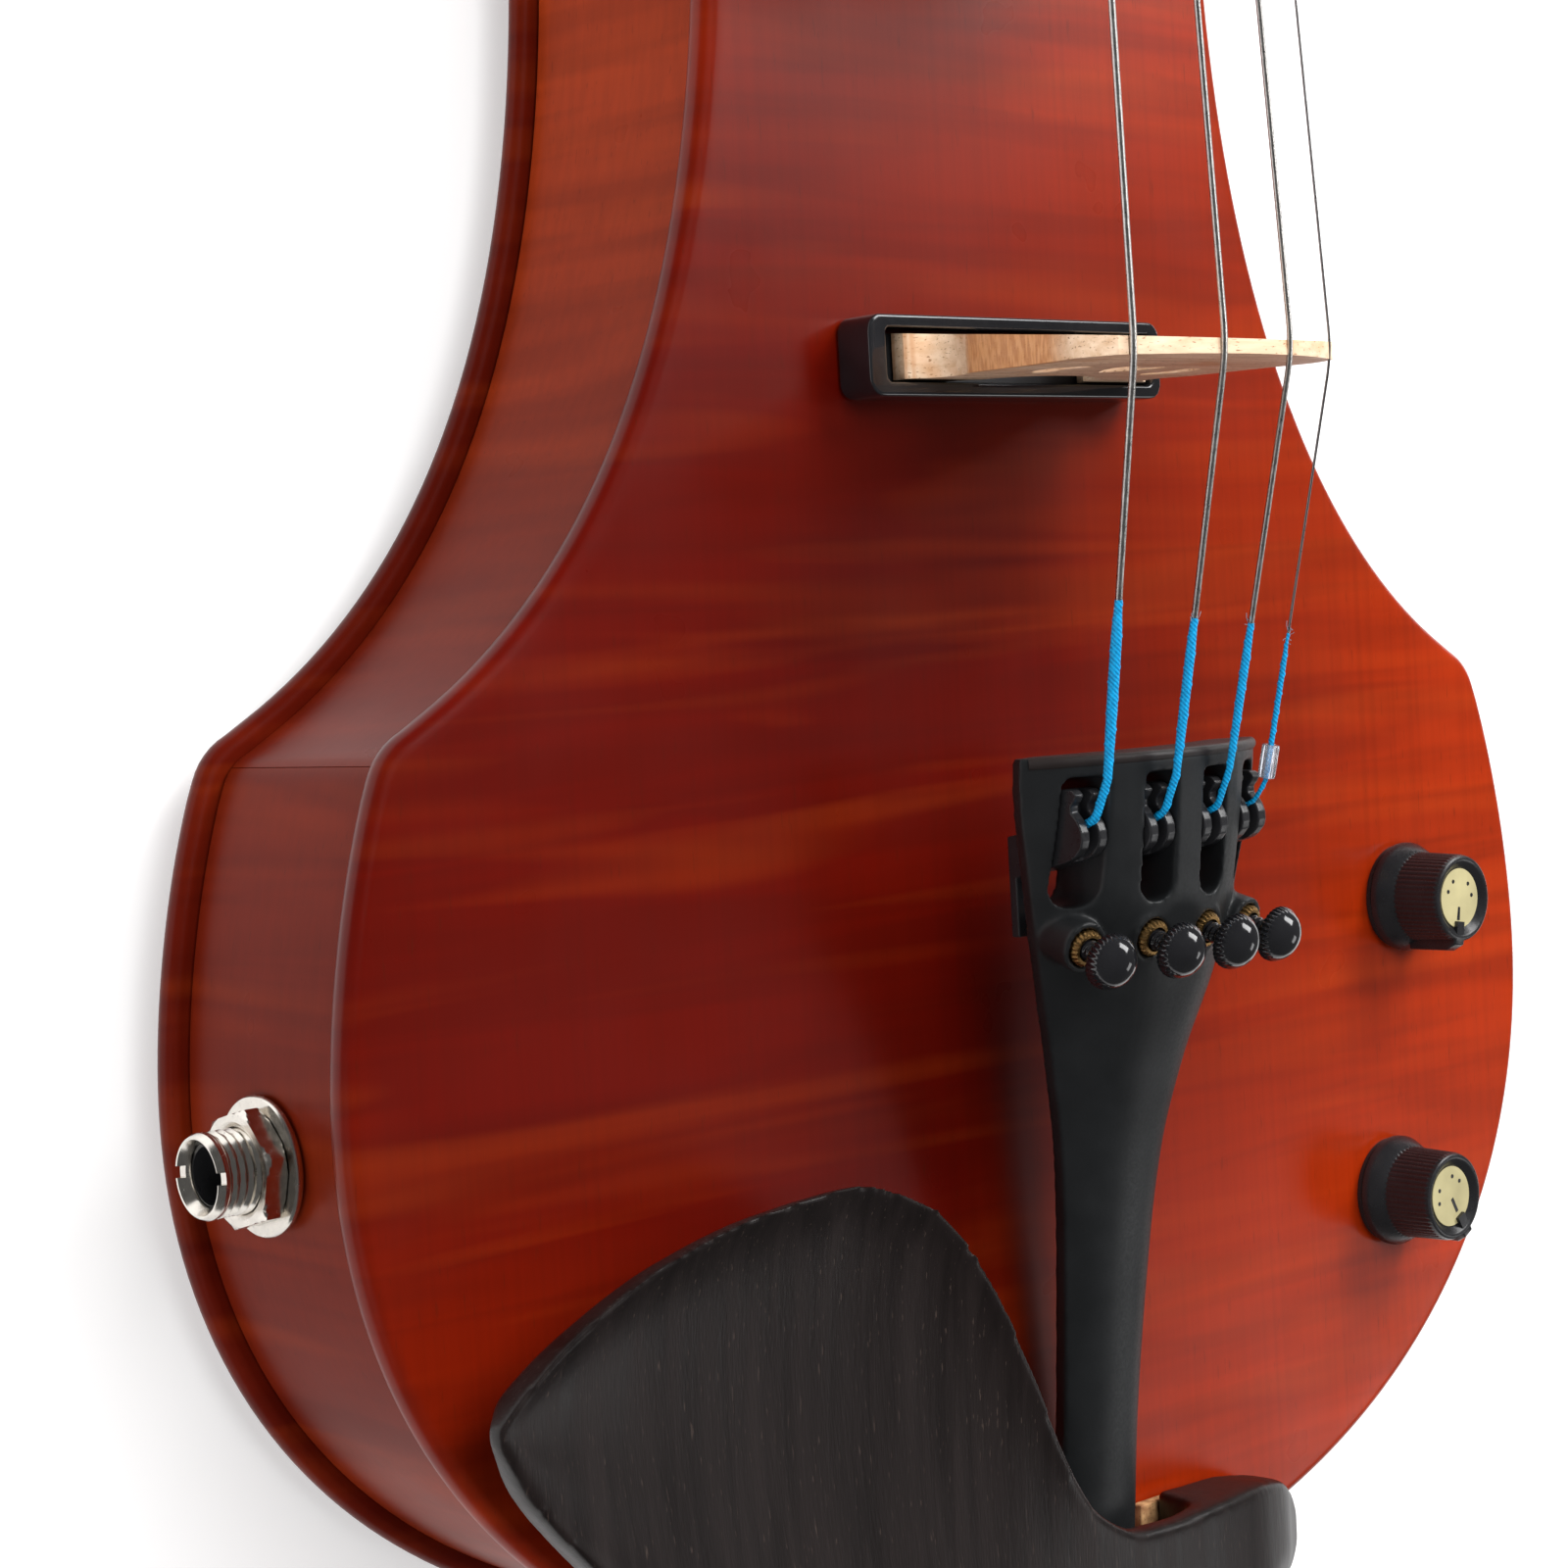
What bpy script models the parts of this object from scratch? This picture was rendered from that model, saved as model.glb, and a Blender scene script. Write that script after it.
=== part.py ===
"""Electric violin, lying on its back: +X to the treble side, +Y towards the scroll, +Z out of the top.

The origin is on the flat land of the back, under the bridge. Every piece is its own object, in metres.
"""

import math

import bmesh
import bpy
from mathutils import Matrix, Vector, geometry

MM = 0.001
GAP = 0.3 * MM  # between solids that touch on the real instrument

# Driving dimensions, in metres
BODY_LENGTH = 351 * MM
BODY_BOTTOM_Y = -155 * MM  # bridge line at y = 0
BODY_TOP_Y = BODY_BOTTOM_Y + BODY_LENGTH
LOWER_HALF_WIDTH = 101.3 * MM
WAIST_HALF_WIDTH = 42.6 * MM
UPPER_HALF_WIDTH = 80 * MM
NECK_JOINT_HALF_WIDTH = 17 * MM
LOWER_CORNER = (93 * MM, -38.5 * MM)
UPPER_CORNER = (72 * MM, 144 * MM)
CORNER_CUT = 3 * MM  # how far each side of a corner its rounding starts
BACK_ARCH = 6 * MM
BACK_ARCH_WIDTH = 30 * MM
BACK_THICKNESS = 3.5 * MM
TOP_THICKNESS = 4 * MM
TOP_Z = 44.5 * MM
EDGE_OVERHANG = 2.5 * MM
RIB_THICKNESS = 1.5 * MM

STRING_LENGTH = 328 * MM
STRING_SPACING_BRIDGE = 11.5 * MM
STRING_SPACING_NUT = 5.5 * MM
STRING_SPACING_TAIL = 9.4 * MM
CROWN_Z = TOP_Z + 41 * MM
CROWN_RADIUS = 42 * MM
NUT_STRING_Z = TOP_Z + 24 * MM
FINGERBOARD_LENGTH = 270 * MM
FINGERBOARD_SIDE = 5 * MM
FINGERBOARD_CLEAR = 4.6 * MM
STRING_RADII = {"g": 0.41 * MM, "d": 0.38 * MM, "a": 0.34 * MM, "e": 0.16 * MM}

TAIL_END_Y = -147 * MM
TUNER_PIVOT_Y = -56 * MM
TUNER_SCREW_Y = -66 * MM  # where a screw's axis crosses the tuners' bed
TUNER_SCREW_TILT = math.radians(17)
TUNER_SCREW_FANS = {"g": -7.5, "d": -2.0, "a": 2.0, "e": 7.5}  # degrees outwards

KNOBS = {"volume": (73.8 * MM, -70.5 * MM), "tone": (68.8 * MM, -110.8 * MM)}
JACK_Y = -83 * MM
JACK_Z = 25.2 * MM
POST_X = 19 * MM
POST_Y = BODY_BOTTOM_Y - 6 * MM

PEG_STATIONS = {"g": 15 * MM, "e": 29 * MM, "d": 43 * MM, "a": 57 * MM}  # from the nut
PEG_SIDES = {"g": -1, "d": -1, "a": 1, "e": 1}

COLOURS = {
    "lacquered_maple": ((0.30, 0.045, 0.012), 0.25, 0.0),
    "plain_maple": ((0.62, 0.42, 0.24), 0.6, 0.0),
    "bridge_maple": ((0.72, 0.52, 0.33), 0.5, 0.0),
    "ebony": ((0.018, 0.013, 0.012), 0.4, 0.0),
    "black_composite": ((0.012, 0.013, 0.014), 0.5, 0.0),
    "black_plastic": ((0.01, 0.01, 0.01), 0.3, 0.0),
    "black_metal": ((0.01, 0.01, 0.012), 0.15, 0.0),
    "brass": ((0.75, 0.52, 0.2), 0.3, 1.0),
    "nickel": ((0.66, 0.63, 0.58), 0.25, 1.0),
    "steel": ((0.55, 0.55, 0.56), 0.3, 1.0),
    "cork": ((0.5, 0.28, 0.12), 0.8, 0.0),
    "clear_plastic": ((0.85, 0.88, 0.95), 0.1, 0.0),
    "black_cord": ((0.01, 0.01, 0.01), 0.5, 0.0),
    "ceramic": ((0.02, 0.02, 0.022), 0.5, 0.0),
}


# ---------------------------------------------------------------- scene and materials


def clear_scene():
    for old in list(bpy.data.objects):
        bpy.data.objects.remove(old, do_unlink=True)


def new_collection(name):
    group = bpy.data.collections.new(name)
    bpy.context.scene.collection.children.link(group)
    return group


def material(slot):
    if slot in bpy.data.materials:
        return bpy.data.materials[slot]
    colour, roughness, metallic = COLOURS[slot]
    made = bpy.data.materials.new(slot)
    made.use_nodes = True
    shader = made.node_tree.nodes["Principled BSDF"]
    shader.inputs["Base Color"].default_value = (*colour, 1)
    shader.inputs["Roughness"].default_value = roughness
    shader.inputs["Metallic"].default_value = metallic
    return made


clear_scene()
PARTS = new_collection("electric_violin")
CUTTERS = new_collection("cutters")


def add_object(name, mesh, slot, origin=(0, 0, 0)):
    """Links the mesh as a part. Its points are world points, moved to put its origin where it is asked."""
    mesh.transform(Matrix.Translation(-Vector(origin)))
    obj = bpy.data.objects.new(name, mesh)
    obj.location = origin
    mesh.materials.clear()
    mesh.materials.append(material(slot))
    PARTS.objects.link(obj)
    mesh.shade_smooth()
    mesh.set_sharp_from_angle(angle=math.radians(35))
    return obj


def mesh_from(bm, name):
    bmesh.ops.remove_doubles(bm, verts=bm.verts, dist=0.001 * MM)
    bmesh.ops.recalc_face_normals(bm, faces=bm.faces)
    mesh = bpy.data.meshes.new(name)
    bm.to_mesh(mesh)
    bm.free()
    return mesh


def mesh_of_curve(obj):
    """The closed mesh of a curve object, in world space, with its caps welded. The curve is removed."""
    graph = bpy.context.evaluated_depsgraph_get()
    mesh = bpy.data.meshes.new_from_object(obj.evaluated_get(graph))
    mesh.transform(obj.matrix_world)
    bm = bmesh.new()
    bm.from_mesh(mesh)
    bpy.data.objects.remove(obj, do_unlink=True)
    return mesh_from(bm, mesh.name)


def boolean(obj, cutter, operation="DIFFERENCE"):
    """Applies a Boolean at once, and removes the other mesh, which is in world space."""
    other = bpy.data.objects.new("cutter", cutter)
    CUTTERS.objects.link(other)
    other.hide_render = True
    modifier = obj.modifiers.new("boolean", "BOOLEAN")
    modifier.operation = operation
    modifier.object = other
    apply_modifiers(obj)
    bpy.data.objects.remove(other, do_unlink=True)


def apply_modifiers(obj):
    graph = bpy.context.evaluated_depsgraph_get()
    mesh = bpy.data.meshes.new_from_object(obj.evaluated_get(graph))
    obj.modifiers.clear()
    obj.data = mesh


# ---------------------------------------------------------------- shapes


def box_mesh(low, high):
    bm = bmesh.new()
    bmesh.ops.create_cube(bm, size=1)
    low, high = Vector(low), Vector(high)
    for vert in bm.verts:
        vert.co = Vector(((low[i] + high[i]) / 2 + vert.co[i] * (high[i] - low[i])) for i in range(3))
    return mesh_from(bm, "box")


def cylinder_mesh(start, end, radius, end_radius=None, sides=20):
    start, end = Vector(start), Vector(end)
    axis = end - start
    bm = bmesh.new()
    bmesh.ops.create_cone(
        bm,
        cap_ends=True,
        segments=sides,
        radius1=radius,
        radius2=radius if end_radius is None else end_radius,
        depth=axis.length,
        matrix=Matrix.Translation((start + end) / 2) @ axis.to_track_quat("Z", "Y").to_matrix().to_4x4(),
    )
    return mesh_from(bm, "cylinder")


def turned_mesh(profile, start, direction, sides=24, ring_shaped=False):
    """A turned solid. The profile is (radius, distance along the axis), a loop where the solid is a ring."""
    frame = Vector(direction).to_track_quat("Z", "Y").to_matrix().to_4x4()
    frame = Matrix.Translation(start) @ frame
    bm = bmesh.new()
    rings = []
    for radius, height in profile:
        if radius < 1e-7:
            rings.append([bm.verts.new(frame @ Vector((0, 0, height)))] * sides)
            continue
        ring = []
        for k in range(sides):
            turn = 2 * math.pi * k / sides
            place = Vector((radius * math.cos(turn), radius * math.sin(turn), height))
            ring.append(bm.verts.new(frame @ place))
        rings.append(ring)
    if ring_shaped:
        join_rings(bm, [*rings, rings[0]], caps=False)
    else:
        join_rings(bm, rings)
    return mesh_from(bm, "turned")


def join_rings(bm, rings, caps=True):
    """Faces between rings of equal length, and a cap on each end ring that isn't a point."""
    for lower, upper in zip(rings, rings[1:]):
        for k in range(len(lower)):
            after = (k + 1) % len(lower)
            corners = dict.fromkeys([lower[k], lower[after], upper[after], upper[k]])
            if len(corners) > 2:
                bm.faces.new(corners)
    for ring in (rings[0], rings[-1]):
        if caps and len(set(ring)) > 2:
            bm.faces.new(ring)


def loft_mesh(sections):
    """A closed solid through rings of points, each a list of the same length."""
    bm = bmesh.new()
    rings = [[bm.verts.new(point) for point in section] for section in sections]
    join_rings(bm, rings)
    return mesh_from(bm, "loft")


def sheet_mesh(rows):
    """A closed solid between two surfaces. Each row is a list of (lower point, upper point)."""
    sections = [[low for low, _ in row] + [high for _, high in reversed(row)] for row in rows]
    return loft_mesh(sections)


def plate_mesh(outline, low, high, holes=()):
    """A flat plate from a 2D curve with fill and extrude. Outline and holes are lists of (x, y)."""
    curve = bpy.data.curves.new("plate", "CURVE")
    curve.dimensions = "2D"
    curve.fill_mode = "BOTH"
    curve.extrude = (high - low) / 2
    for points in (outline, *holes):
        spline = curve.splines.new("POLY")
        spline.points.add(len(points) - 1)
        for point, place in zip(spline.points, points):
            point.co = (*place, 0, 1)
        spline.use_cyclic_u = True
    obj = bpy.data.objects.new("plate", curve)
    obj.location.z = (low + high) / 2
    CUTTERS.objects.link(obj)
    bpy.context.view_layer.update()
    return mesh_of_curve(obj)


def tube_mesh(points, radius, resolution=2):
    """A round tube along the points, as a curve with a bevel and filled caps."""
    curve = bpy.data.curves.new("tube", "CURVE")
    curve.dimensions = "3D"
    curve.bevel_depth = radius
    curve.bevel_resolution = resolution
    curve.use_fill_caps = True
    spline = curve.splines.new("POLY")
    spline.points.add(len(points) - 1)
    for point, place in zip(spline.points, points):
        point.co = (*place, 1)
    obj = bpy.data.objects.new("tube", curve)
    CUTTERS.objects.link(obj)
    bpy.context.view_layer.update()
    return mesh_of_curve(obj)


def circle_points(centre, radius, count=24):
    turns = [2 * math.pi * k / count for k in range(count)]
    return [(centre[0] + radius * math.cos(t), centre[1] + radius * math.sin(t)) for t in turns]


def bezier(points, count):
    """Points along a cubic Bezier, without its last one."""
    padded = [Vector((*point, 0)) for point in points]
    return [point.to_2d() for point in geometry.interpolate_bezier(*padded, count + 1)][:-1]


def blend(low, high, t):
    return low + (high - low) * t


def smoothstep(t):
    t = max(0.0, min(1.0, t))
    return t * t * (3 - 2 * t)


def table(pairs, x):
    """A straight-line reading of (x, value) pairs in rising x."""
    if x <= pairs[0][0]:
        return pairs[0][1]
    for (x0, v0), (x1, v1) in zip(pairs, pairs[1:]):
        if x <= x1:
            return blend(v0, v1, (x - x0) / (x1 - x0))
    return pairs[-1][1]


# ---------------------------------------------------------------- body


def rounded_corner(before, corner, after):
    """Three points that round a corner of the outline off."""
    corner = Vector(corner)
    start = corner + (before - corner).normalized() * CORNER_CUT
    end = corner + (Vector(after) - corner).normalized() * CORNER_CUT
    return [start, start * 0.25 + corner * 0.5 + end * 0.25, end]


def half_outline():
    """The treble half of the outline from bottom to top: Bezier stretches between rounded corners."""
    low_x, low_y = LOWER_CORNER
    up_x, up_y = UPPER_CORNER
    widest = (LOWER_HALF_WIDTH, BODY_BOTTOM_Y + 75.5 * MM)
    waist = (WAIST_HALF_WIDTH, 66 * MM)
    shoulder = (UPPER_HALF_WIDTH, BODY_TOP_Y - 33 * MM)
    neck = (NECK_JOINT_HALF_WIDTH, BODY_TOP_Y)
    lower_start = [(0, BODY_BOTTOM_Y), (62.4 * MM, BODY_BOTTOM_Y)]
    lower = bezier([*lower_start, (LOWER_HALF_WIDTH, widest[1] - 43.6 * MM), widest], 15)
    lower_end = [(LOWER_HALF_WIDTH, low_y - 28 * MM), (low_x + 5 * MM, low_y - 11.6 * MM)]
    lower += bezier([widest, *lower_end, LOWER_CORNER], 6)
    waist_start = (low_x - 29.9 * MM, low_y + 13.9 * MM)
    middle = bezier([LOWER_CORNER, waist_start, (WAIST_HALF_WIDTH, low_y + 47.9 * MM), waist], 14)[1:]
    waist_end = [(WAIST_HALF_WIDTH, up_y - 36 * MM), (up_x - 21 * MM, up_y - 7 * MM)]
    middle += bezier([waist, *waist_end, UPPER_CORNER], 11)
    upper_start = [(up_x + 4 * MM, up_y + 7 * MM), (UPPER_HALF_WIDTH, up_y + 12 * MM)]
    upper = bezier([UPPER_CORNER, *upper_start, shoulder], 4)[1:]
    upper += bezier([shoulder, (UPPER_HALF_WIDTH, BODY_TOP_Y - 10 * MM), (46 * MM, BODY_TOP_Y), neck], 11)
    low_round = rounded_corner(lower[-1], LOWER_CORNER, waist_start)
    up_round = rounded_corner(middle[-1], UPPER_CORNER, upper[0])
    return [*lower, *low_round, *middle, *up_round, *upper, Vector(neck)]


def mirror_points(points):
    return [Vector((-point.x, point.y)) for point in reversed(points)]


def offset_inward(points, distance):
    """The half outline moved inwards. Points that a corner overtakes are dropped."""
    moved = []
    for k, point in enumerate(points):
        before = points[max(k - 1, 0)]
        after = points[min(k + 1, len(points) - 1)]
        along = (after - before).normalized()
        if k == 0:
            along = Vector((1, 0))
        place = point + Vector((-along.y, along.x)) * distance
        nearest = min(distance_to_line(place, a, b) for a, b in zip(points, points[1:]))
        if nearest > distance * 0.97:
            moved.append(place)
    return moved


def distance_to_line(point, start, end):
    _, part = geometry.intersect_point_line(point, start, end)
    part = max(0.0, min(1.0, part))
    return (start + (end - start) * part - point).length


def full_outline(half):
    """Both halves as one loop. A half starts on the centre line."""
    return half + mirror_points(half)[:-1]


def make_top_plate():
    holes = [circle_points(place, 4.2 * MM, 20) for place in KNOBS.values()]
    mesh = plate_mesh(full_outline(half_outline()), TOP_Z - TOP_THICKNESS, TOP_Z, holes)
    add_object("top_plate", mesh, "lacquered_maple")


def back_depth(x, y, half):
    """How far the back bulges below its edge at a point."""
    inside = min(distance_to_line(Vector((abs(x), y)), a, b) for a, b in zip(half, half[1:]))
    inside = min(inside, BODY_TOP_Y - y)
    return BACK_ARCH * smoothstep(inside / BACK_ARCH_WIDTH)


def make_back_plate():
    """An arched plate, carved to an even thickness, with a flat land that the violin lies on."""
    half = half_outline()
    spread = [0, 0.14, 0.3, 0.5, 0.72, 0.88, 1]
    columns = [-part for part in reversed(spread[1:])] + spread
    stations = [half[0], *half[2:-1:2], half[-1]]
    rows = []
    for edge in stations:
        width = max(edge.x, 4 * MM) if edge.y < 0 else edge.x
        row = []
        for part in columns:
            x = part * width
            low = BACK_ARCH - back_depth(x, edge.y, half)
            row.append(((x, edge.y, low), (x, edge.y, low + BACK_THICKNESS)))
        rows.append(row)
    add_object("back_plate", sheet_mesh(rows), "lacquered_maple")


def make_ribs():
    """Three bent ribs a side, each a strip with Solidify."""
    names = ("lower", "waist", "upper")
    low = BACK_ARCH + BACK_THICKNESS + GAP
    high = TOP_Z - TOP_THICKNESS - GAP
    half = half_outline()
    inner = offset_inward(half, EDGE_OVERHANG)
    ends = [0]
    for corner in (LOWER_CORNER, UPPER_CORNER):
        ends.append(min(range(len(inner)), key=lambda k: (inner[k] - Vector(corner)).length))
    ends.append(len(inner) - 1)
    for name, start, end in zip(names, ends, ends[1:]):
        line = inner[start : end + 1]
        line[0] = line[0] + (line[1] - line[0]).normalized() * (2 * MM if start else GAP)
        line[-1] = line[-1] + (line[-2] - line[-1]).normalized() * (2 * MM if end < ends[-1] else GAP)
        for side, sign in (("bass", -1), ("treble", 1)):
            bm = bmesh.new()
            bottom = [bm.verts.new((sign * point.x, point.y, low)) for point in line]
            top = [bm.verts.new((sign * point.x, point.y, high)) for point in line]
            for k in range(len(line) - 1):
                bm.faces.new((bottom[k], bottom[k + 1], top[k + 1], top[k]))
            mesh = mesh_from(bm, "rib")
            facing = sum(face.normal.xy.dot(face.center.xy) for face in mesh.polygons)
            if facing < 0:
                mesh.flip_normals()
            rib = add_object(f"{side}_{name}_rib", mesh, "lacquered_maple")
            modifier = rib.modifiers.new("thickness", "SOLIDIFY")
            modifier.thickness = RIB_THICKNESS
            modifier.offset = -1
            modifier.use_even_offset = True
    jack_hole = cylinder_mesh(
        (-LOWER_HALF_WIDTH - 5 * MM, JACK_Y, JACK_Z), (-LOWER_HALF_WIDTH + 10 * MM, JACK_Y, JACK_Z), 5.1 * MM
    )
    boolean(bpy.data.objects["bass_lower_rib"], jack_hole)


CORNER_BLOCK_REACH = 27 * MM


def make_blocks():
    """The end, neck and corner blocks, which the ribs are glued to."""
    low = BACK_ARCH + BACK_THICKNESS + GAP
    high = TOP_Z - TOP_THICKNESS - GAP
    half = half_outline()
    face = offset_inward(half, EDGE_OVERHANG + RIB_THICKNESS + GAP)
    end_face = [point for point in face if point.x < 26 * MM and point.y < 0]
    end_outline = mirror_points(end_face)[:-1] + end_face + [(22 * MM, -135 * MM), (-22 * MM, -135 * MM)]
    block = add_object("end_block", plate_mesh(end_outline, low, high), "plain_maple")
    button_hole = cylinder_mesh((0, -160 * MM, JACK_Z), (0, -130 * MM, JACK_Z), 3.6 * MM)
    boolean(block, button_hole)
    inside = BODY_TOP_Y - EDGE_OVERHANG - RIB_THICKNESS - 1 * MM
    add_object(
        "neck_block",
        box_mesh((-24 * MM, inside - 34 * MM, low + 1 * MM), (24 * MM, inside - 3 * MM, high)),
        "plain_maple",
    )
    for name, corner in (("lower", LOWER_CORNER), ("upper", UPPER_CORNER)):
        near = [point for point in face if (point - Vector(corner)).length < CORNER_BLOCK_REACH]
        for side, sign in (("bass", -1), ("treble", 1)):
            outline = [(sign * point.x, point.y) for point in near]
            add_object(f"{side}_{name}_corner_block", plate_mesh(outline, low, high), "plain_maple")


# ---------------------------------------------------------------- neck


def string_line_z(y):
    """Height of the middle strings over the length between bridge and nut."""
    return blend(CROWN_Z, NUT_STRING_Z, y / STRING_LENGTH)


NUT_Y = STRING_LENGTH
BOARD_END_Y = NUT_Y - FINGERBOARD_LENGTH
BOARD_NUT_Z = NUT_STRING_Z - 0.7 * MM
BOARD_END_Z = string_line_z(BOARD_END_Y) - FINGERBOARD_CLEAR
BOARD_SLOPE = (BOARD_NUT_Z - BOARD_END_Z) / FINGERBOARD_LENGTH


def board_top(y):
    """Height of the fingerboard's crown at a station."""
    return BOARD_NUT_Z + (y - NUT_Y) * BOARD_SLOPE


def board_half_width(y):
    return blend(21 * MM, 12 * MM, (y - BOARD_END_Y) / FINGERBOARD_LENGTH)


def board_bottom(y):
    """Height of the fingerboard's underside, which is also the neck's glue face."""
    nut_drop = CROWN_RADIUS - math.sqrt(CROWN_RADIUS**2 - board_half_width(NUT_Y) ** 2)
    end_drop = CROWN_RADIUS - math.sqrt(CROWN_RADIUS**2 - board_half_width(BOARD_END_Y) ** 2)
    part = (y - BOARD_END_Y) / FINGERBOARD_LENGTH
    return board_top(y) - blend(end_drop, nut_drop, part) - FINGERBOARD_SIDE


def make_fingerboard():
    sections = []
    for k in range(4):
        y = blend(BOARD_END_Y, NUT_Y - GAP, k / 3)
        width = board_half_width(y)
        reach = math.asin(width / CROWN_RADIUS)
        arc = [blend(-reach, reach, j / 8) for j in range(9)]
        crown = board_top(y) - CROWN_RADIUS
        ring = [(CROWN_RADIUS * math.sin(t), y, crown + CROWN_RADIUS * math.cos(t)) for t in arc]
        ring += [(width, y, board_bottom(y)), (-width, y, board_bottom(y))]
        sections.append(ring)
    add_object("fingerboard", loft_mesh(sections), "ebony")


def make_nut():
    thick = 5.5 * MM
    width = board_half_width(NUT_Y)
    low = board_bottom(NUT_Y)
    sections = []
    for y, lift in ((NUT_Y, 0.35 * MM), (NUT_Y + thick * 0.4, 0.2 * MM), (NUT_Y + thick, -2 * MM)):
        reach = math.asin(width / CROWN_RADIUS)
        crown = BOARD_NUT_Z + lift - CROWN_RADIUS
        arc = [blend(-reach, reach, j / 6) for j in range(7)]
        ring = [(CROWN_RADIUS * math.sin(t), y, crown + CROWN_RADIUS * math.cos(t)) for t in arc]
        sections.append([*ring, (width, y, low), (-width, y, low)])
    add_object("nut", loft_mesh(sections), "ebony")


def neck_section(y, depth, width, square=2.0):
    """A U-shaped ring under the fingerboard: flat on top, round below."""
    top = board_bottom(y) - GAP
    ring = []
    for k in range(13):
        turn = math.pi * k / 12
        across = math.copysign(abs(math.cos(turn)) ** (2 / square), math.cos(turn))
        down = math.sin(turn) ** (2 / square)
        ring.append((width * across, y, top - 2 * MM - (depth - 2 * MM) * down))
    return [(width, y, top), *ring, (-width, y, top)]


def pegbox_top(y):
    """The pegbox's upper rim falls away from the nut, then rises to the scroll."""
    start = board_bottom(NUT_Y) + 1 * MM
    return start - 14 * MM * smoothstep((y - NUT_Y) / (62 * MM))


PEGBOX_END_Y = NUT_Y + 66 * MM
SCROLL_CENTRE = (NUT_Y + 82 * MM, board_bottom(NUT_Y) - 19 * MM)
SCROLL_RADIUS = 15 * MM


def make_neck():
    heel = BODY_TOP_Y + GAP
    floor = BACK_ARCH + BACK_THICKNESS
    full = board_bottom(heel) - GAP - floor
    sections = [
        neck_section(heel, full, 16.5 * MM, 3.0),
        neck_section(heel + 5 * MM, full - 1 * MM, 16 * MM, 2.6),
        neck_section(heel + 11 * MM, full - 12 * MM, 15.5 * MM, 2.2),
        neck_section(heel + 17 * MM, full - 26 * MM, 15.3 * MM),
        neck_section(heel + 26 * MM, 16 * MM, 15 * MM),
        neck_section(heel + 40 * MM, 14 * MM, 14.6 * MM),
        neck_section(NUT_Y - 12 * MM, 13 * MM, 12.4 * MM),
        neck_section(NUT_Y - 3 * MM, 14 * MM, 12 * MM, 2.2),
    ]
    drop = board_bottom(NUT_Y)
    for y, width, bottom in (
        (NUT_Y + 2 * MM, 12 * MM, drop - 16.5 * MM),
        (NUT_Y + 10 * MM, 12.2 * MM, drop - 19.5 * MM),
        (NUT_Y + 30 * MM, 11 * MM, drop - 25 * MM),
        (NUT_Y + 50 * MM, 9.5 * MM, drop - 30 * MM),
        (PEGBOX_END_Y + 4 * MM, 8.4 * MM, drop - 33.5 * MM),
        (PEGBOX_END_Y + 14 * MM, 7.6 * MM, drop - 34 * MM),
    ):
        top = drop - GAP if y < NUT_Y + 8 * MM else pegbox_top(y)
        ring = [(width, y, top)]
        for k in range(13):
            turn = math.pi * k / 12
            across = math.copysign(abs(math.cos(turn)) ** 0.5, math.cos(turn))
            ring.append((width * across, y, blend(top - 3 * MM, bottom, math.sin(turn) ** 0.6)))
        sections.append([*ring, (-width, y, top)])
    neck = add_object("neck", loft_mesh(sections), "plain_maple")

    centre_y, centre_z = SCROLL_CENTRE
    for radius, half_width in ((SCROLL_RADIUS, 8.5 * MM), (10 * MM, 13 * MM), (5.5 * MM, 17 * MM)):
        disc = cylinder_mesh(
            (-half_width, centre_y, centre_z), (half_width, centre_y, centre_z), radius, sides=24
        )
        boolean(neck, disc, "UNION")

    hollow = []
    open_z = drop + 12 * MM
    for y, width in ((NUT_Y + 9 * MM, 7.2 * MM), (NUT_Y + 35 * MM, 6 * MM), (PEGBOX_END_Y, 4.2 * MM)):
        base = drop - 15 * MM - (y - NUT_Y) * 0.19
        hollow.append([(-width, y, base), (width, y, base), (width, y, open_z), (-width, y, open_z)])
    boolean(neck, loft_mesh(hollow))
    for string in PEG_STATIONS:
        start, end = peg_axis(string)
        away = (end - start).normalized()
        boolean(neck, cylinder_mesh(start - away * 30 * MM, start + away * 60 * MM, 4.0 * MM, sides=14))


def peg_axis(string):
    """From the tip of a peg to the far end of its head."""
    y = NUT_Y + PEG_STATIONS[string]
    z = pegbox_top(y) - 7.5 * MM - PEG_STATIONS[string] * 0.05
    sign = PEG_SIDES[string]
    return Vector((-sign * 14 * MM, y, z)), Vector((sign * 43 * MM, y, z))


def make_pegs():
    for string in PEG_STATIONS:
        start, end = peg_axis(string)
        away = (end - start).normalized()
        shaft = [
            (0, 0),
            (2.8 * MM, 0),
            (3.1 * MM, 1 * MM),
            (3.65 * MM, 29 * MM),
            (4.6 * MM, 29.6 * MM),
            (4.6 * MM, 31 * MM),
            (3.4 * MM, 32 * MM),
            (3.0 * MM, 36 * MM),
            (0, 36 * MM),
        ]
        peg = add_object(f"peg_{string}", turned_mesh(shaft, start, away, sides=16), "ebony")
        bm = bmesh.new()
        bmesh.ops.create_uvsphere(bm, u_segments=16, v_segments=10, radius=1)
        head = start + away * 45.5 * MM
        for vert in bm.verts:
            vert.co = head + Vector((vert.co.x * 11.5 * MM, vert.co.y * 3.3 * MM, vert.co.z * 8.5 * MM))
        boolean(peg, mesh_from(bm, "head"), "UNION")


# ---------------------------------------------------------------- bridge and strings


def crown_z(x):
    return CROWN_Z - CROWN_RADIUS + math.sqrt(CROWN_RADIUS**2 - x**2)


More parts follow.
